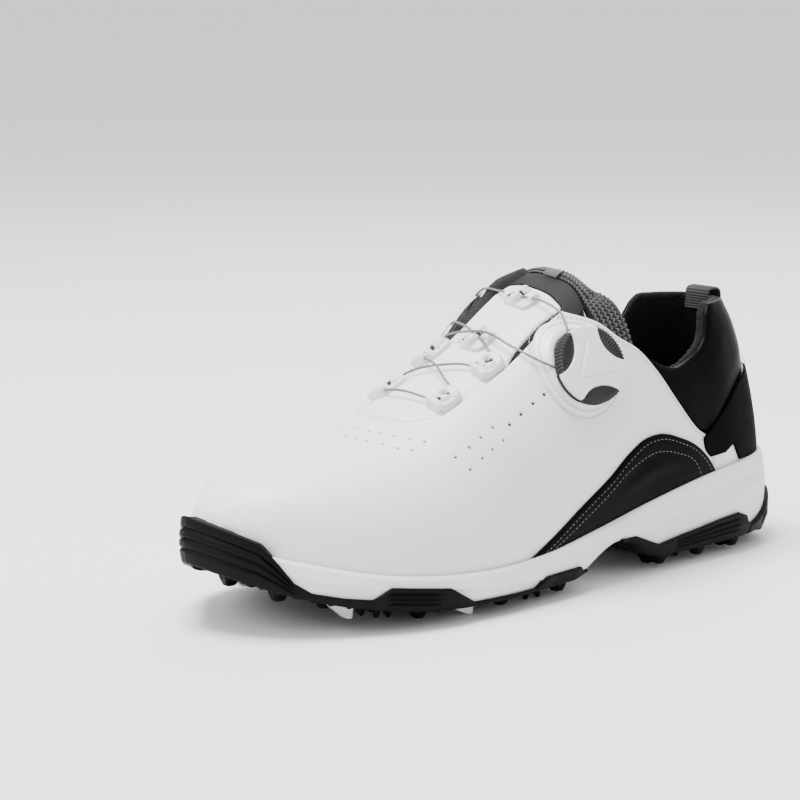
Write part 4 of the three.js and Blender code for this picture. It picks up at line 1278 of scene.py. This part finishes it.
def make_tongue_loop():
    """A short fold of webbing sewn over the top edge of the tongue."""
    loops = []
    for k in range(13):
        w = k / 12
        t = 110.6 - 4.6 * w
        rise = 0.5 * math.sin(math.pi * w) ** 0.6 - 1.0
        rows = [top_point(t, y, rise + 0.25) for y in (1.0, 1.4, 5.0, 8.6, 9.0)]
        rows += [top_point(t, y, rise - 0.45) for y in (9.0, 8.6, 5.0, 1.4, 1.0)]
        loops.append(np.array(rows))
    link(loft("tongue_fold", loops, sharp=60), "root", "webbing", TAB_GREY)


def make_linings():
    def keep(t, y, z):
        return inside(COLLAR_ZONE, t, z) & (z > 60)

    def keep_low(t, y, z):
        return inside(COLLAR_ZONE, t, z) & (z <= 60)

    edge = both_walls(COLLAR_ZONE[:-2])
    cut = both_walls(smooth([[-40, 60], [30, 60], [112, 60]]))
    span = (0.0, float(u_at(112)))

    def relief(t, y, z, d):
        return 1.7 * smoothstep(d / 2.5) * smoothstep((z - 84) / 10) - 1.2

    mesh = panel("collar_padding", edge + cut, keep, span, heel=True, top=-1.75,
                 thickness=4.3, rim=1.9, step=2.0, relief=relief)
    piece = stand_in(mesh, "collar_lining", "lining", LINING)
    swollen(piece, 1.5, 4.0, 0.7, lambda p: p[:, 2] < 66)
    mesh = panel("heel_lining", cut, keep_low, span, heel=True, top=-2.95, thickness=1.4,
                 rim=0.4, step=3.0)
    link(mesh, "root", "lining", LINING)

    zone = outline([[[112.6, 8], [112.6, 88]], [[112.6, 88], [126, 96], [126, 120]]],
                   [[126, 180], [340, 180], [340, 0]])
    throat = np.array(THROAT_EDGE, float)
    middle = np.array([150.0, 5.0])
    wide = outline([middle + (throat - middle) * np.array([1.08, 1.22])])

    def keep_vamp(t, y, z):
        return inside(zone, t, z) & ~inside(wide, t, y)

    mesh = panel("forepart_lining", both_walls(zone[:60]) + [on_plan(wide)], keep_vamp,
                 (float(u_at(108)), 0.985), top=-2.95, thickness=0.95, rim=0.4, step=3.2)
    stand_in(mesh, "vamp_lining", "light_lining", LIGHT_LINING)


def make_toe_puff():
    def keep(t, y, z):
        return (t > 252) & (z > 34)

    cut = [np.stack([np.full(60, float(u_at(252))), np.linspace(-1, 1, 60)], 1)]
    cut += both_walls(smooth([[240, 34], [300, 34]]))
    mesh = panel("toe_stiffener", cut, keep, (float(u_at(248)), 0.98), top=-1.8,
                 thickness=0.75, rim=0.3, step=3.0)
    stand_in(mesh, "toe_puff", "board", BOARD)


def make_sockliner():
    """The footbed: cupped at the edges, with a fabric cover."""
    stations, across = 90, 25
    tops, lows = [], []
    for u in np.linspace(0.004, 0.996, stations):
        uu = np.array([u])
        z = section(uu)[0, 3]
        lateral, medial = outside(uu, -1, -7.9)[0], outside(uu, 1, -7.9)[0]
        w = np.linspace(0, 1, across)[:, None]
        line = lateral + (medial - lateral) * w
        cup = 1.5 * np.abs(2 * w[:, 0] - 1) ** 4 * smoothstep((0.55 - u) / 0.3)
        edge = np.minimum(w[:, 0], 1 - w[:, 0]) * np.linalg.norm(medial - lateral)
        top = z + 5.4 + cup * 0.4 - rounding(edge, 1.5, 1.2)
        tops.append(np.column_stack([line[:, 0], line[:, 1], top]))
        lows.append(np.column_stack([line[:, 0], line[:, 1], np.full(across, z + 2.15)]))
    loops = [np.vstack([a, b[::-1]]) for a, b in zip(tops, lows)]
    piece = stand_in(loft("footbed", loops), "sockliner", "lining", LINING)


def make_pull_loop():
    """Grosgrain webbing folded into a loop, its cross ribs raised."""
    low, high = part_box("pull_loop")
    back = HEEL_X - high.x / MM
    front = HEEL_X - low.x / MM
    top, bottom = high.z / MM - 4.9, low.z / MM - 8
    half = (high.y - low.y) / MM / 2
    middle = (high.y + low.y) / MM / 2
    route = [[back + 0.2, bottom], [back + 0.1, bottom + 5], [back + 0.3, top - 2.4],
             [back + 1.2, top - 0.9], [back + 2.8, top - 0.5], [front - 2.8, top - 0.5],
             [front - 1.3, top - 0.9], [front - 0.6, top - 2.4], [front - 0.5, bottom + 5],
             [front - 0.4, bottom]]
    line = smooth(route, 0.2)
    path = np.column_stack([HEEL_X - line[:, 0], np.zeros(len(line)), line[:, 1]])
    run = run_along(path)
    tangent = units(np.gradient(path, axis=0))
    out = np.cross(tangent, [0, 1, 0])
    rib = 0.16 * np.cos(run * 2 * math.pi / 1.15)
    loops = []
    for i, p in enumerate(path):
        thick = 0.5 + rib[i]
        row = []
        for y, k in ((-half, 0.3), (-half + 0.5, 1), (0, 1), (half - 0.5, 1), (half, 0.3)):
            row.append(p + out[i] * thick * k + [0, middle + y, 0])
        for y, k in ((half, 0.3), (half - 0.5, 1), (0, 1), (-half + 0.5, 1), (-half, 0.3)):
            row.append(p - out[i] * thick * k + [0, middle + y, 0])
        loops.append(np.array(row))
    stand_in(loft("pull_webbing", loops, sharp=60), "pull_loop", "webbing", WEBBING)


# ---------------------------------------------------------------- guides and anchor

GUIDES = {
    "guide_lateral_front": [178, -20.4, 190.8, -9.5],
    "guide_lateral_rear": [154, -18.8, 166.5, -8],
    "guide_medial_front": [177.5, 15, 190.5, 26.4],
    "guide_medial_rear": [154.5, 15, 167.5, 26.4],
    "guide_tongue_lower": [145.5, -3.5, 157, 10.5],
    "guide_tongue_upper": [121.5, -3, 131.5, 12],
}


def rounded_box(t0, y0, t1, y1, radius):
    points = []
    for ct, cy, start in ((t1 - radius, y1 - radius, 0), (t0 + radius, y1 - radius, 90),
                          (t0 + radius, y0 + radius, 180), (t1 - radius, y0 + radius, 270)):
        for k in range(7):
            a = math.radians(start + 15 * k)
            points.append([ct + radius * math.cos(a), cy + radius * math.sin(a)])
    points = np.array(points + points[:1])
    return densify(points[:-1], points[1:], 0.9)


def path_distance(points, path):
    """Distance of points (t, y) from a path of (t, y) points."""
    path = np.asarray(path, float)
    best = np.full(len(points), 1e9)
    for a, b in zip(path[:-1], path[1:]):
        ab = b - a
        k = np.clip(((points - a) @ ab) / (ab @ ab), 0, 1)
        best = np.minimum(best, np.linalg.norm(points - a - k[:, None] * ab, axis=1))
    return best


def ridge(points, path, radius, height):
    """A raised round cord along a path, as heights at the points."""
    away = path_distance(points, path)
    return height * np.sqrt(np.clip(1 - (away / radius) ** 2, 0, 1))


def guide_lines(name, t0, y0, t1, y1):
    """Lines of a guide: ridges with a radius and height, grooves with a depth and width,
    and the painted shade on the floor of its grooves, with a reach."""
    if "tongue" in name:
        def at(share):
            return y0 + (y1 - y0) * share

        groove = [[t0 + 4.6, at(0.36)], [t1 - 4.2, at(0.68)]]
        ridges = [([[t0 + 3.6, y0 + 1.6], [t0 + 3.4, at(0.45)], [t1 - 3.6, at(0.6)],
                    [t1 - 3.2, y1 - 1.6]], 2.3, 2.0),
                  ([[t0 + 2.2, at(0.5)], [t1 - 2.0, at(0.5)]], 1.9, 2.9)]
        grooves = [([[t0 + 2.4, at(0.28)], *groove, [t1 - 2.2, at(0.76)]], 1.5, 0.6)]
        painted_shade_lines = [([[t0 + 2.6, at(0.28)], *groove, [t1 - 2.4, at(0.76)]], 0.5)]
        return ridges, grooves, painted_shade_lines

    sign = -1 if "lateral" in name else 1
    outer = (y0 if "lateral" in name else y1) - sign * 1.5

    def to(t, inward):
        return [t, outer - sign * inward]

    slot, mouth = [to(t0 + 4.6, 3.2), to(t0 + 5.6, 5.0)], [to(t1 - 4.0, 3.4), to(t1 - 4.0, 8.0)]
    hook = [to(t0 + 3.2, 0), to(t0 + 1.7, 2.0), to(t0 + 2.0, 5.6), to(t0 + 4.6, 7.0)]
    ridges = [(hook, 1.45, 1.9),
              ([to(t1 - 1.2, 0), to(t0 + 3.2, 0)], 1.2, 0.9),
              ([to(t1 - 1.4, 0), to(t1 - 1.5, 8.4)], 1.5, 2.2)]
    # the last list puts painted shade along the slot and the mouth
    return ridges, [(slot, 1.5, 0.7), (mouth, 1.3, 0.6)], [(slot, 0.75), (mouth, 0.62)]


def make_guides():
    lace = np.column_stack([HEEL_X - LACE_PATH[:, 0], LACE_PATH[:, 1] - CENTRE_Y])
    for name, box in GUIDES.items():
        t0, y0, t1, y1 = box
        shape = rounded_box(*box, 3.2)
        near = lace[(lace[:, 0] > t0 - 2) & (lace[:, 0] < t1 + 2)
                    & (lace[:, 1] > y0 - 2) & (lace[:, 1] < y1 + 2)]
        ridges, grooves, painted_shade_lines = guide_lines(name, *box)
        tongue = "tongue" in name
        outer, sign = (y0, -1) if "lateral" in name else (y1, 1)

        def keep(t, y, z, shape=shape):
            return inside(shape, t, y)

        def relief(t, y, z, d, near=near, ridges=ridges, grooves=grooves, tongue=tongue,
                   outer=outer, sign=sign):
            at = np.column_stack([t, y])
            height = np.max([ridge(at, *one) for one in ridges], axis=0)
            if not tongue:      # a low cover over the lace, on the guide's inner part
                inner_part = smoothstep((sign * (y - outer) + 8.6) / 0.8)
                height = np.maximum(height, ridge(at, near, 1.9, 1.7) * inner_part)
            for line, depth, width in grooves:
                height = height - depth * np.exp(-(path_distance(at, line) / width) ** 2)
            return height

        # Painted shade: faces near the grooves' lines take the dark second material, standing in
        # for the shade in the slots.
        def shade(t, y, painted_shade_lines=painted_shade_lines):
            at = np.column_stack([t, y])
            return np.any([path_distance(at, line) < reach for line, reach in painted_shade_lines], axis=0)

        span = (float(u_at(t0 - 4)), float(u_at(t1 + 4)))
        mesh = panel(f"{name}_hook", [on_plan(shape)], keep, span, top=0.2 if tongue else 0.45,
                     thickness=2.0, rim=0.6, step=0.5, relief=relief, shade=shade)
        stand_in(mesh, name, "guide", GUIDE, PAINTED_SHADE)


ANCHOR_SLOT = [[-3.4, -1.6], [-0.8, -0.4], [1.2, 0.6], [3.4, 0.4]]


def make_anchor():
    """The round lace anchor on the medial wall, with a boss and a ring of stitches."""
    radius = 13.0
    a = round_angles(96)
    near = LACE_PATH[np.linalg.norm(LACE_PATH - ANCHOR_FOOT, axis=1) < 20] - ANCHOR_FOOT
    lace = near @ np.stack(disc_directions(ANCHOR_AXIS), 1)
    tops, lows = [], []
    for k in np.linspace(0, 1, 34) ** 0.9 * radius:
        f, g = k * np.cos(a), k * np.sin(a)
        h = 0.9 + 0.9 * smoothstep((10.6 - k) / 0.8)
        h = h + 0.9 * smoothstep((5.2 - np.hypot(f + 0.5, g - 0.5)) / 1.0)
        away = path_distance(np.column_stack([f, g]), lace)
        h = h + 0.7 * np.exp(-(away / 1.5) ** 4) * smoothstep((11.5 - k) / 2)
        slot = path_distance(np.column_stack([f, g]), ANCHOR_SLOT)
        h = h - 1.0 * np.exp(-(slot / 0.6) ** 2)
        h = h - rounding(radius - k, 0.9, 0.9)
        uv = on_wall(np.array([anchor_point(x, y, 0) for x, y in zip(f, g)]), 1)
        tops.append(surface(uv[:, 0], uv[:, 1], h))
        lows.append(surface(uv[:, 0], uv[:, 1], -0.4))
    mesh = loft("anchor_cap", tops + lows[::-1], caps=False, sharp=60)
    stand_in(mesh, "lace_anchor_medial", "guide", GUIDE)
    circle = wall_circle(anchor_point, 14.6, 1, FULL_TURN)
    sew("anchor_stitches", [skin_row(circle, 0, 0.35, 2.0, 1.4, 0.36)], "white_leather",
        THREAD_WHITE)


# ---------------------------------------------------------------- the dial

KNOB_RADIUS, GRIP_RADIUS, KNOB_BASE, KNOB_TOP = 16.2, 16.5, 3.2, 8.6
PAD_CENTRES = (28, 148, 268)
PAD_AWAY, PAD_CUT = 22.5, 13.0      # each hollow is cut by a circle beside the knob
TRIANGLE = (88, 208, 328)


def core_radius(degrees):
    """Radius of the knob's white core, with a round hollow for each pad."""
    degrees = np.asarray(degrees, float)
    r = np.full(degrees.shape, KNOB_RADIUS)
    for centre in PAD_CENTRES:
        off = np.radians((degrees - centre + 180) % 360 - 180)
        inside_cut = np.clip(PAD_CUT ** 2 - (PAD_AWAY * np.sin(off)) ** 2, 0, None)
        cut = PAD_AWAY * np.cos(off) - np.sqrt(inside_cut)
        reach = (inside_cut > 0) & (np.cos(off) > 0)
        r = np.where(reach, np.minimum(r, cut), r)
    return r


def dial_points(f, g, h):
    ahead, upward = disc_directions(DIAL_AXIS)
    return DIAL_FOOT + np.outer(f, ahead) + np.outer(g, upward) + np.outer(h, DIAL_AXIS)


def dial_ring(radius, height, angles):
    rest = np.zeros(len(angles))
    return dial_points(radius * np.cos(angles), radius * np.sin(angles), rest + height)


def make_knob():
    count, rings = 360, 64
    degrees = np.arange(count) * 360 / count
    a = np.radians(degrees)
    edge = core_radius(degrees)
    loops = []
    for s in 0.02 + 0.98 * np.linspace(0, 1, rings) ** 0.85:
        r = edge * s
        f, g = r * np.cos(a), r * np.sin(a)
        h = KNOB_TOP - 0.5 * (r / KNOB_RADIUS) ** 2
        h = h - rounding(edge - r, 1.1, 1.1)
        side = np.full(count, -1e9)
        for corner in TRIANGLE:
            far = math.radians(corner + 180)
            side = np.maximum(side, f * math.cos(far) + g * math.sin(far) - 5.5)
        rounded = np.maximum(side, np.hypot(f, g) - 11.4)
        h = h - 0.3 * smoothstep((rounded + 0.8) / 0.6)
        h = h - 0.42 * np.exp(-((rounded + 0.5) / 0.42) ** 2)
        loops.append(dial_points(f, g, h))
    for r_off, h in ((0.0, KNOB_TOP - 2.2), (0.0, KNOB_BASE + 1.7), (-0.3, KNOB_BASE + 1.45)):
        loops.append(dial_ring(edge + r_off, h, a))
    loops.append(dial_ring(3.4, KNOB_BASE + 1.45, a))
    stand_in(loft("knob_core", loops, sharp=55), "dial_knob", "dial_white", DIAL_WHITE, body="knob")


def make_grip():
    """The dark ring under the knob's core, with ribbed pads in its hollows."""
    count = 720
    degrees = np.arange(count) * 360 / count
    a = np.radians(degrees)
    edge = core_radius(degrees) + 0.18
    pad = np.clip((KNOB_RADIUS - 0.25 - edge) / 0.6, 0, 1)
    ribs = 0.5 + 0.5 * np.cos(a * 66)
    high = KNOB_BASE + 1.3 + (KNOB_TOP - 0.9 - KNOB_BASE - 1.3) * smoothstep(pad)
    outer = GRIP_RADIUS - 0.15
    loops = [dial_ring(r, KNOB_BASE, a) for r in (10.8, GRIP_RADIUS - 0.8)]
    steps = [(0.0, 0.10), (0.0, 0.3), (0.0, 0.6), (0.0, 0.8), (0.35, 0.93), (1.0, 1.0)]
    for back, part in steps:
        r = outer - back - 0.55 * (1 - ribs) * smoothstep(pad) * (part > 0.15)
        r = np.maximum(r, edge + 0.05)
        h = KNOB_BASE + (high - KNOB_BASE) * part
        loops.append(dial_ring(r, h, a))
    for part in (0.35, 0.65, 0.9, 1.0):
        r = (outer - 1.0) + (edge + 0.05 - (outer - 1.0)) * part
        r = np.maximum(r, edge + 0.04)
        groove = 0.8 * (1 - ribs) * smoothstep(pad) * (1 - part) / 0.65
        loops.append(dial_ring(r, high - groove - 0.25 * part, a))
    loops.append(dial_ring(edge, KNOB_BASE + 1.2, a))
    loops.append(dial_ring(10.8, KNOB_BASE + 1.2, a))
    loops.append(loops[0])
    stand_in(loft("grip_ring", loops, caps=False, sharp=50), "dial_grip", "grip", GRIP, body="knob")


def make_flange():
    """The sewn white seat round the dial, rising in two steps."""
    profile = [(13.4, -0.3), (13.4, 2.2), (13.9, 2.7), (15.2, 2.7), (16.2, 2.2), (16.9, 1.6),
               (17.3, 1.35), (18.9, 1.2), (19.5, 1.0), (19.9, 0.5), (20.0, -0.3)]
    loops = []
    for r, h in profile:
        uv = wall_circle(dial_point, r, -1, round_angles(144))
        loops.append(surface(uv[:, 0], uv[:, 1], h))
    loops.append(loops[0])
    mesh = loft("dial_seat", loops, caps=False, sharp=60)
    stand_in(mesh, "dial_flange", "dial_white", DIAL_WHITE)
    rows = [skin_row(dial_circle(18.2), 0, 1.3, 1.7, 1.2)]
    sew("dial_seat_stitches", rows, "dial_white", THREAD_WHITE)


# ---------------------------------------------------------------- the sole

UNDERSIDE = np.array([
    [-12, 15], [-4, 10], [4, 7], [14, 5.6], [92, 5.6], [101, 9.5], [108, 14.5], [115, 16.5],
    [122, 15.5], [130, 12], [138, 7.8], [146, 5.6], [206, 5.6], [222, 6.3], [236, 8],
    [250, 10.4], [264, 13.6], [276, 17.5], [288, 22.5], [297, 28], [306, 36]])
UNDER_T = np.arange(-12.0, 307.0, 1.0)
UNDER_Z = np.convolve(np.interp(np.arange(-15.0, 310.0, 1.0), UNDERSIDE[:, 0], UNDERSIDE[:, 1]),
                      np.ones(7) / 7, "valid")


def underside(t):
    return np.interp(t, UNDER_T, UNDER_Z)


def outside(u, side, flare):
    """Plan points beyond the feather line by a flare, on one side."""
    v = np.full(len(u), float(side))
    p, n = skin(u, v), normals(u, v)
    n[:, 2] = 0
    out = p + units(n) * np.reshape(flare * np.ones(len(u)), (-1, 1))
    out[:, 2] = 0
    return out


def rim_points(u, side, rows):
    """Rows of (flare, z) at one station, as points."""
    base, far = outside(u, side, 0.0)[0], outside(u, side, 1.0)[0]
    step = far - base
    rows = np.asarray(rows)
    points = base + step * rows[:, :1]
    points[:, 2] = rows[:, 1]
    return points


MIDSOLE_LINES = [
    [[14, 30.2], [21.9, 31.1], [36, 32], [54, 26.9], [73.6, 22.2], [92, 19.6]],
    [[215, 14.6], [210.7, 13.6], [194.6, 11.6], [166.9, 9.9], [160, 9.6]],
    [[266, 22.0], [261.6, 21.1], [247.2, 17.9], [243, 17.2]],
]


def line_step(t, z, lines, depth, fade):
    """Depth of small steps in a wall: sharp at their line, fading out below it."""
    total = np.zeros(len(z))
    for line in lines:
        line = np.array(sorted(line))
        ends = smoothstep((t - line[0, 0]) / 6) * smoothstep((line[-1, 0] - t) / 6)
        below = np.interp(t, line[:, 0], line[:, 1]) - z
        fading = np.exp(-np.maximum(below, 0) / fade)
        total = total + depth * ends * smoothstep(below / 0.7) * fading
    return total


def midsole_rows(u):
    s = section(u)[0]
    t, low = s[0], underside(s[0])
    top = s[3] + 1.0
    wall = np.linspace(0, 1, 52)
    z = (top - 0.8) + (low + 1.0 - top + 0.8) * wall
    share = (z - low) / (top - low)
    flare = np.interp(share, [0, 0.25, 0.62, 0.9, 1], [2.9, 4.2, 4.6, 3.4, 2.3])
    flare = flare - line_step(t, z, MIDSOLE_LINES, 1.5, 4.5)
    flare = flare - (flare - 1.0) * 0.5 * float(smoothstep((t - 262) / 28))
    rows = [[-3, top - 1.5], [0.6, top - 0.35], [1.5, top], [2.0, top - 0.15]]
    rows += np.column_stack([flare, z]).tolist()
    rows += [[flare[-1] - 0.5, low + 0.3], [flare[-1] - 1.3, low + 0.02], [-8, low]]
    return rows


def sole_loft(name, stations, rows_of):
    loops = []
    for u in stations:
        u = np.array([u])
        rows = rows_of(u)
        lateral, medial = rim_points(u, -1, rows), rim_points(u, 1, rows)
        loops.append(np.vstack([medial, lateral[::-1]]))
    return loft(name, loops, sharp=55)


def make_midsole():
    stations = np.concatenate([[0, 0.002, 0.004], np.linspace(0.007, 0.993, 230),
                               [0.996, 0.998, 1.0]])
    stand_in(sole_loft("midsole_foam", stations, midsole_rows), "midsole", "midsole", MIDSOLE)


FORE_EDGE = np.array([
    [138.4, 7.8], [142.6, 11.2], [163.8, 11], [169.4, 7.2], [203.5, 7.6], [215.5, 14.8],
    [240.9, 18], [248, 13.7], [258, 15], [268.6, 17.4], [274.3, 21.5], [279.6, 29.8],
    [284.4, 36.4], [300, 44.5], [320, 47]])
HEEL_EDGE = np.array([
    [32.8, 11.3], [34.5, 15], [40.2, 17], [51.2, 16.2], [77.2, 13.4], [91.7, 11.5],
    [106, 17.2], [115.5, 16.6]])
BUMPER_EDGE = np.array([[-30, 22], [4, 21], [13, 16.5], [21.3, 12.4], [31.8, 9]])
GROOVE_ZONES = [(262, 312, 0.85), (218, 245, 0.9), (144, 163, 0.9), (38, 84, 0.9), (-20, 22, 0.8)]


def outsole_rows(u, edge):
    s = section(u)[0]
    reach = outside(u, -1, 6.0)[0]
    t = HEEL_X - reach[0]
    low = underside(s[0])
    top = max(np.interp(t, edge[:, 0], edge[:, 1]), low + 1.0)
    z = np.linspace(top - 0.9, low + 1.1, 44)
    flare = np.interp(z, [low, low + 5, max(s[3], low + 5.5), 44, 58],
                      [4.4, 6.2, 6.4, 4.2, 2.8])
    flare = flare - (flare - 1.6) * 0.5 * float(smoothstep((s[0] - 262) / 28))
    share = (z - low) / max(top - low, 1)
    for start, end, depth in GROOVE_ZONES:
        mask = smoothstep((t - start) / 5) * smoothstep((end - t) / 5)
        mask = mask * smoothstep((top - low - 4) / 3)
        for at in (0.34, 0.55, 0.76):
            width = 0.55 / max(top - low, 1)
            flare = flare - depth * mask * np.exp(-((share - at) / width) ** 2)
    rows = [[flare[0] - 2.6, top - 0.7], [flare[0] - 1.2, top - 0.02],
            [flare[0] - 0.45, top - 0.12], [flare[0] - 0.1, top - 0.45]]
    rows += np.column_stack([flare, z]).tolist()
    rows += [[flare[-1] - 0.4, low + 0.3], [flare[-1] - 1.4, low - 0.15], [-6, low - 0.35]]
    return np.array(rows), low, top


def make_outsole(name, node, edge, stations):
    """A rubber wrap: its outer rows, and the same rows again further in."""
    loops = []
    for u in stations:
        u = np.array([u])
        rows, low, top = outsole_rows(u, edge)
        inner = rows[::-1].copy()
        inner[:, 0] -= 2.4
        inner[:, 1] = np.minimum(np.maximum(inner[:, 1], low + 1.2), top - 0.7)
        lateral, medial = rim_points(u, -1, rows), rim_points(u, 1, rows)
        lateral_in, medial_in = rim_points(u, -1, inner), rim_points(u, 1, inner)
        loops.append(np.vstack([medial, lateral[::-1], lateral_in[::-1], medial_in]))
    n = len(loops[0])
    faces = band_faces(0, len(loops), n, caps=False)
    end = (len(loops) - 1) * n
    for j in range(n // 2 - 1):
        k = n - 1 - j
        faces.append((j, k, k - 1, j + 1))
        faces.append((end + j, end + j + 1, end + k - 1, end + k))
    mesh = merged(name, np.vstack(loops), faces, 55)
    stand_in(mesh, node, "outsole", OUTSOLE)


def make_sole():
    make_midsole()
    fore = np.concatenate([np.linspace(float(u_at(138.4)), 0.993, 210), [0.996, 0.998, 1.0]])
    make_outsole("forefoot_rubber", "outsole_forefoot", FORE_EDGE, fore)
    heel = np.linspace(float(u_at(32.8)), float(u_at(115.5)), 110)
    make_outsole("heel_rubber", "outsole_heel", HEEL_EDGE, heel)
    bumper = np.concatenate([[0, 0.002, 0.004], np.linspace(0.007, float(u_at(31.4)), 60)])
    make_outsole("bumper_rubber", "heel_bumper", BUMPER_EDGE, bumper)


def tapered_block(t, y, half, top, low, taper=0.62):
    """A block under the sole, narrower at its foot, with cut corners."""
    cut = 0.35
    loops = []
    for size, z in ((1.0, top), (0.97, top - (top - low) * 0.3), (taper, low + 0.35),
                    (taper * 0.86, low)):
        h = half * size
        c = h * cut
        ring = [(h, h - c), (h - c, h), (-h + c, h), (-h, h - c), (-h, -h + c), (-h + c, -h),
                (h - c, -h), (h, -h + c)]
        loops.append(np.array([[HEEL_X - t - a, CENTRE_Y + y + b, z] for a, b in ring]))
    return loops


LUGS = [
    [150, -44], [182, -46], [222, -44], [250, -22], [266, -14], [266, 18], [252, 22], [216, 38],
    [184, 36], [150, 32], [182, 14], [218, -16], [218, 12], [246, 2], [88, -32], [88, 26],
    [41, -28], [41, 24], [54, -8], [54, 8], [14, -16], [14, 15], [22, 0],
]


def make_lugs():
    points, faces = [], []

    def put(loops):
        faces.extend(band_faces(len(points), len(loops), len(loops[0])))
        points.extend(np.vstack(loops))

    for t, y in LUGS:
        low = float(underside(t))
        put(tapered_block(t, y, 3.6, low + 0.8, low - 4.2))
    for u in np.arange(float(u_at(246)), 0.985, 0.021):     # small teeth along the toe's edge
        for side in (-1, 1):
            for inset in (-1.6, -7.5):
                p = outside(np.array([u]), side, inset)[0]
                t, y = HEEL_X - p[0], p[1] - CENTRE_Y
                low = float(underside(section(np.array([u]))[0, 0]))
                put(tapered_block(t, y, 1.5, low + 0.6, low - 1.5))
    for t in (41, 64, 88, 12):
        for side in (-1, 1):
            u = np.array([float(u_at(t))])
            p = outside(u, side, 1.2)[0]
            low = float(underside(t))
            put(tapered_block(HEEL_X - p[0], p[1] - CENTRE_Y, 3.0, low + 0.6, low - 3.4))
    mesh = mesh_of("sole_lugs", points, faces, 40)
    link(mesh, "root", "outsole", OUTSOLE)


CLEATS = {
    "lateral_front": [232, -30], "lateral_rear": [163, -38], "medial_front": [236, 26],
    "medial_rear": [170, 31], "centre": [200, -4], "heel_lateral": [70, -22],
    "heel_medial": [66, 18],
}
# Radius and height of the disc's rings; radius, height and size of the rings of a leg.
CLEAT_DISC = [(0.01, 3.2), (2.6, 3.2), (2.6, 0.0), (7.9, -0.1), (8.5, -0.45), (8.4, -0.9),
              (7.4, -1.6), (4.2, -2.2), (2.4, -2.6), (1.9, -3.4), (1.2, -3.9), (0.01, -4.0)]
CLEAT_LEG = [(5.4, -1.0, 1.75), (5.7, -2.6, 1.6), (6.1, -4.4, 1.15), (6.2, -5.3, 0.85),
             (6.15, -5.55, 0.45)]
CLEAT_LEGS = 6


def ring(centre, radius, height, count):
    a = round_angles(count)
    return np.column_stack([centre[0] + radius * np.cos(a), centre[1] + radius * np.sin(a),
                            np.full(count, height)])


def make_cleats():
    """Soft spikes: a domed disc with six splayed legs and a centre stub."""
    rings = [ring((0, 0), r, h, 36) for r, h in CLEAT_DISC]
    faces = band_faces(0, len(rings), 36, flip=True)
    count = 36 * len(rings)
    for c in round_angles(CLEAT_LEGS):
        rings += [ring((r * math.cos(c), r * math.sin(c)), size, h, 10)
                  for r, h, size in CLEAT_LEG]
        faces += band_faces(count, len(CLEAT_LEG), 10, flip=True)
        count += 10 * len(CLEAT_LEG)
    for name, (t, y) in CLEATS.items():
        slope = math.atan2(float(underside(t + 4) - underside(t - 4)), 8)
        axis = Vector((math.sin(slope), 0, math.cos(slope)))
        turn = Vector((0, 0, 1)).rotation_difference(axis).to_matrix()
        foot = np.array([HEEL_X - t, CENTRE_Y + y, float(underside(t))])
        mesh = mesh_of(f"spike_{name}", np.vstack(rings) @ np.array(turn).T + foot, faces, 45)
        stand_in(mesh, f"cleat_{name}", "cleat", CLEAT)


# ---------------------------------------------------------------- nodes kept from the frame

KEPT = {
    "heel_counter": BOARD, "shank": METAL, "lasting_board": BOARD,
    "dial_housing": DIAL_DARK, "dial_spool": DIAL_DARK, "dial_pawl_disc": DIAL_DARK,
    "dial_axle_bush": METAL, "dial_axle_screw": METAL,
    "claw_lateral_front": CLAW, "claw_lateral_rear": CLAW, "claw_medial_front": CLAW,
    "claw_medial_rear": CLAW,
    **{f"cleat_insert_{name}": INSERT for name in CLEATS},
}


def dress_kept_nodes():
    for name, material in KEPT.items():
        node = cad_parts[name]
        node.data.materials.clear()
        node.data.materials.append(material)
        if not name.startswith(("heel_counter", "lasting")):
            edge = node.modifiers.new("edges", "BEVEL")
            edge.width = 0.25 * MM
            edge.segments = 2
            edge.limit_method = "ANGLE"
            edge.angle_limit = math.radians(40)


# ---------------------------------------------------------------- stage

def make_stage():
    bpy.ops.mesh.primitive_plane_add(size=60)
    floor = bpy.context.object
    floor.name = "floor"
    m, _, _, shader = new_material("floor")
    shader.inputs["Base Color"].default_value = (0.82, 0.82, 0.82, 1)
    shader.inputs["Roughness"].default_value = 0.55
    floor.data.materials.append(m)
    world = bpy.data.worlds.new("studio")
    bpy.context.scene.world = world
    world.use_nodes = True
    background = world.node_tree.nodes["Background"]
    background.inputs["Color"].default_value = (1, 1, 1, 1)
    background.inputs["Strength"].default_value = 1.35

    def lamp(name, place, size, power):
        data = bpy.data.lights.new(name, "AREA")
        data.size = size
        data.energy = power
        light = bpy.data.objects.new(name, data)
        bpy.context.scene.collection.objects.link(light)
        light.location = place
        aim = Vector((0, 0, 0.04)) - Vector(place)
        light.rotation_euler = aim.to_track_quat("-Z", "Y").to_euler()

    lamp("top_light", (-0.25, 0.25, 1.4), 0.7, 46)
    lamp("toe_light", (-1.2, 0.35, 0.9), 0.6, 10)
    lamp("back_light", (0.9, 0.7, 0.9), 0.6, 8)


# ---------------------------------------------------------------- build

for make in (make_lace, make_quarters, make_collar, make_strap, make_saddles, make_tongue,
             make_knit, make_tongue_loop, make_linings, make_toe_puff, make_sockliner,
             make_pull_loop, make_guides, make_anchor, make_knob, make_grip, make_flange,
             make_sole, make_lugs, make_cleats, dress_kept_nodes, make_stage):
    make()
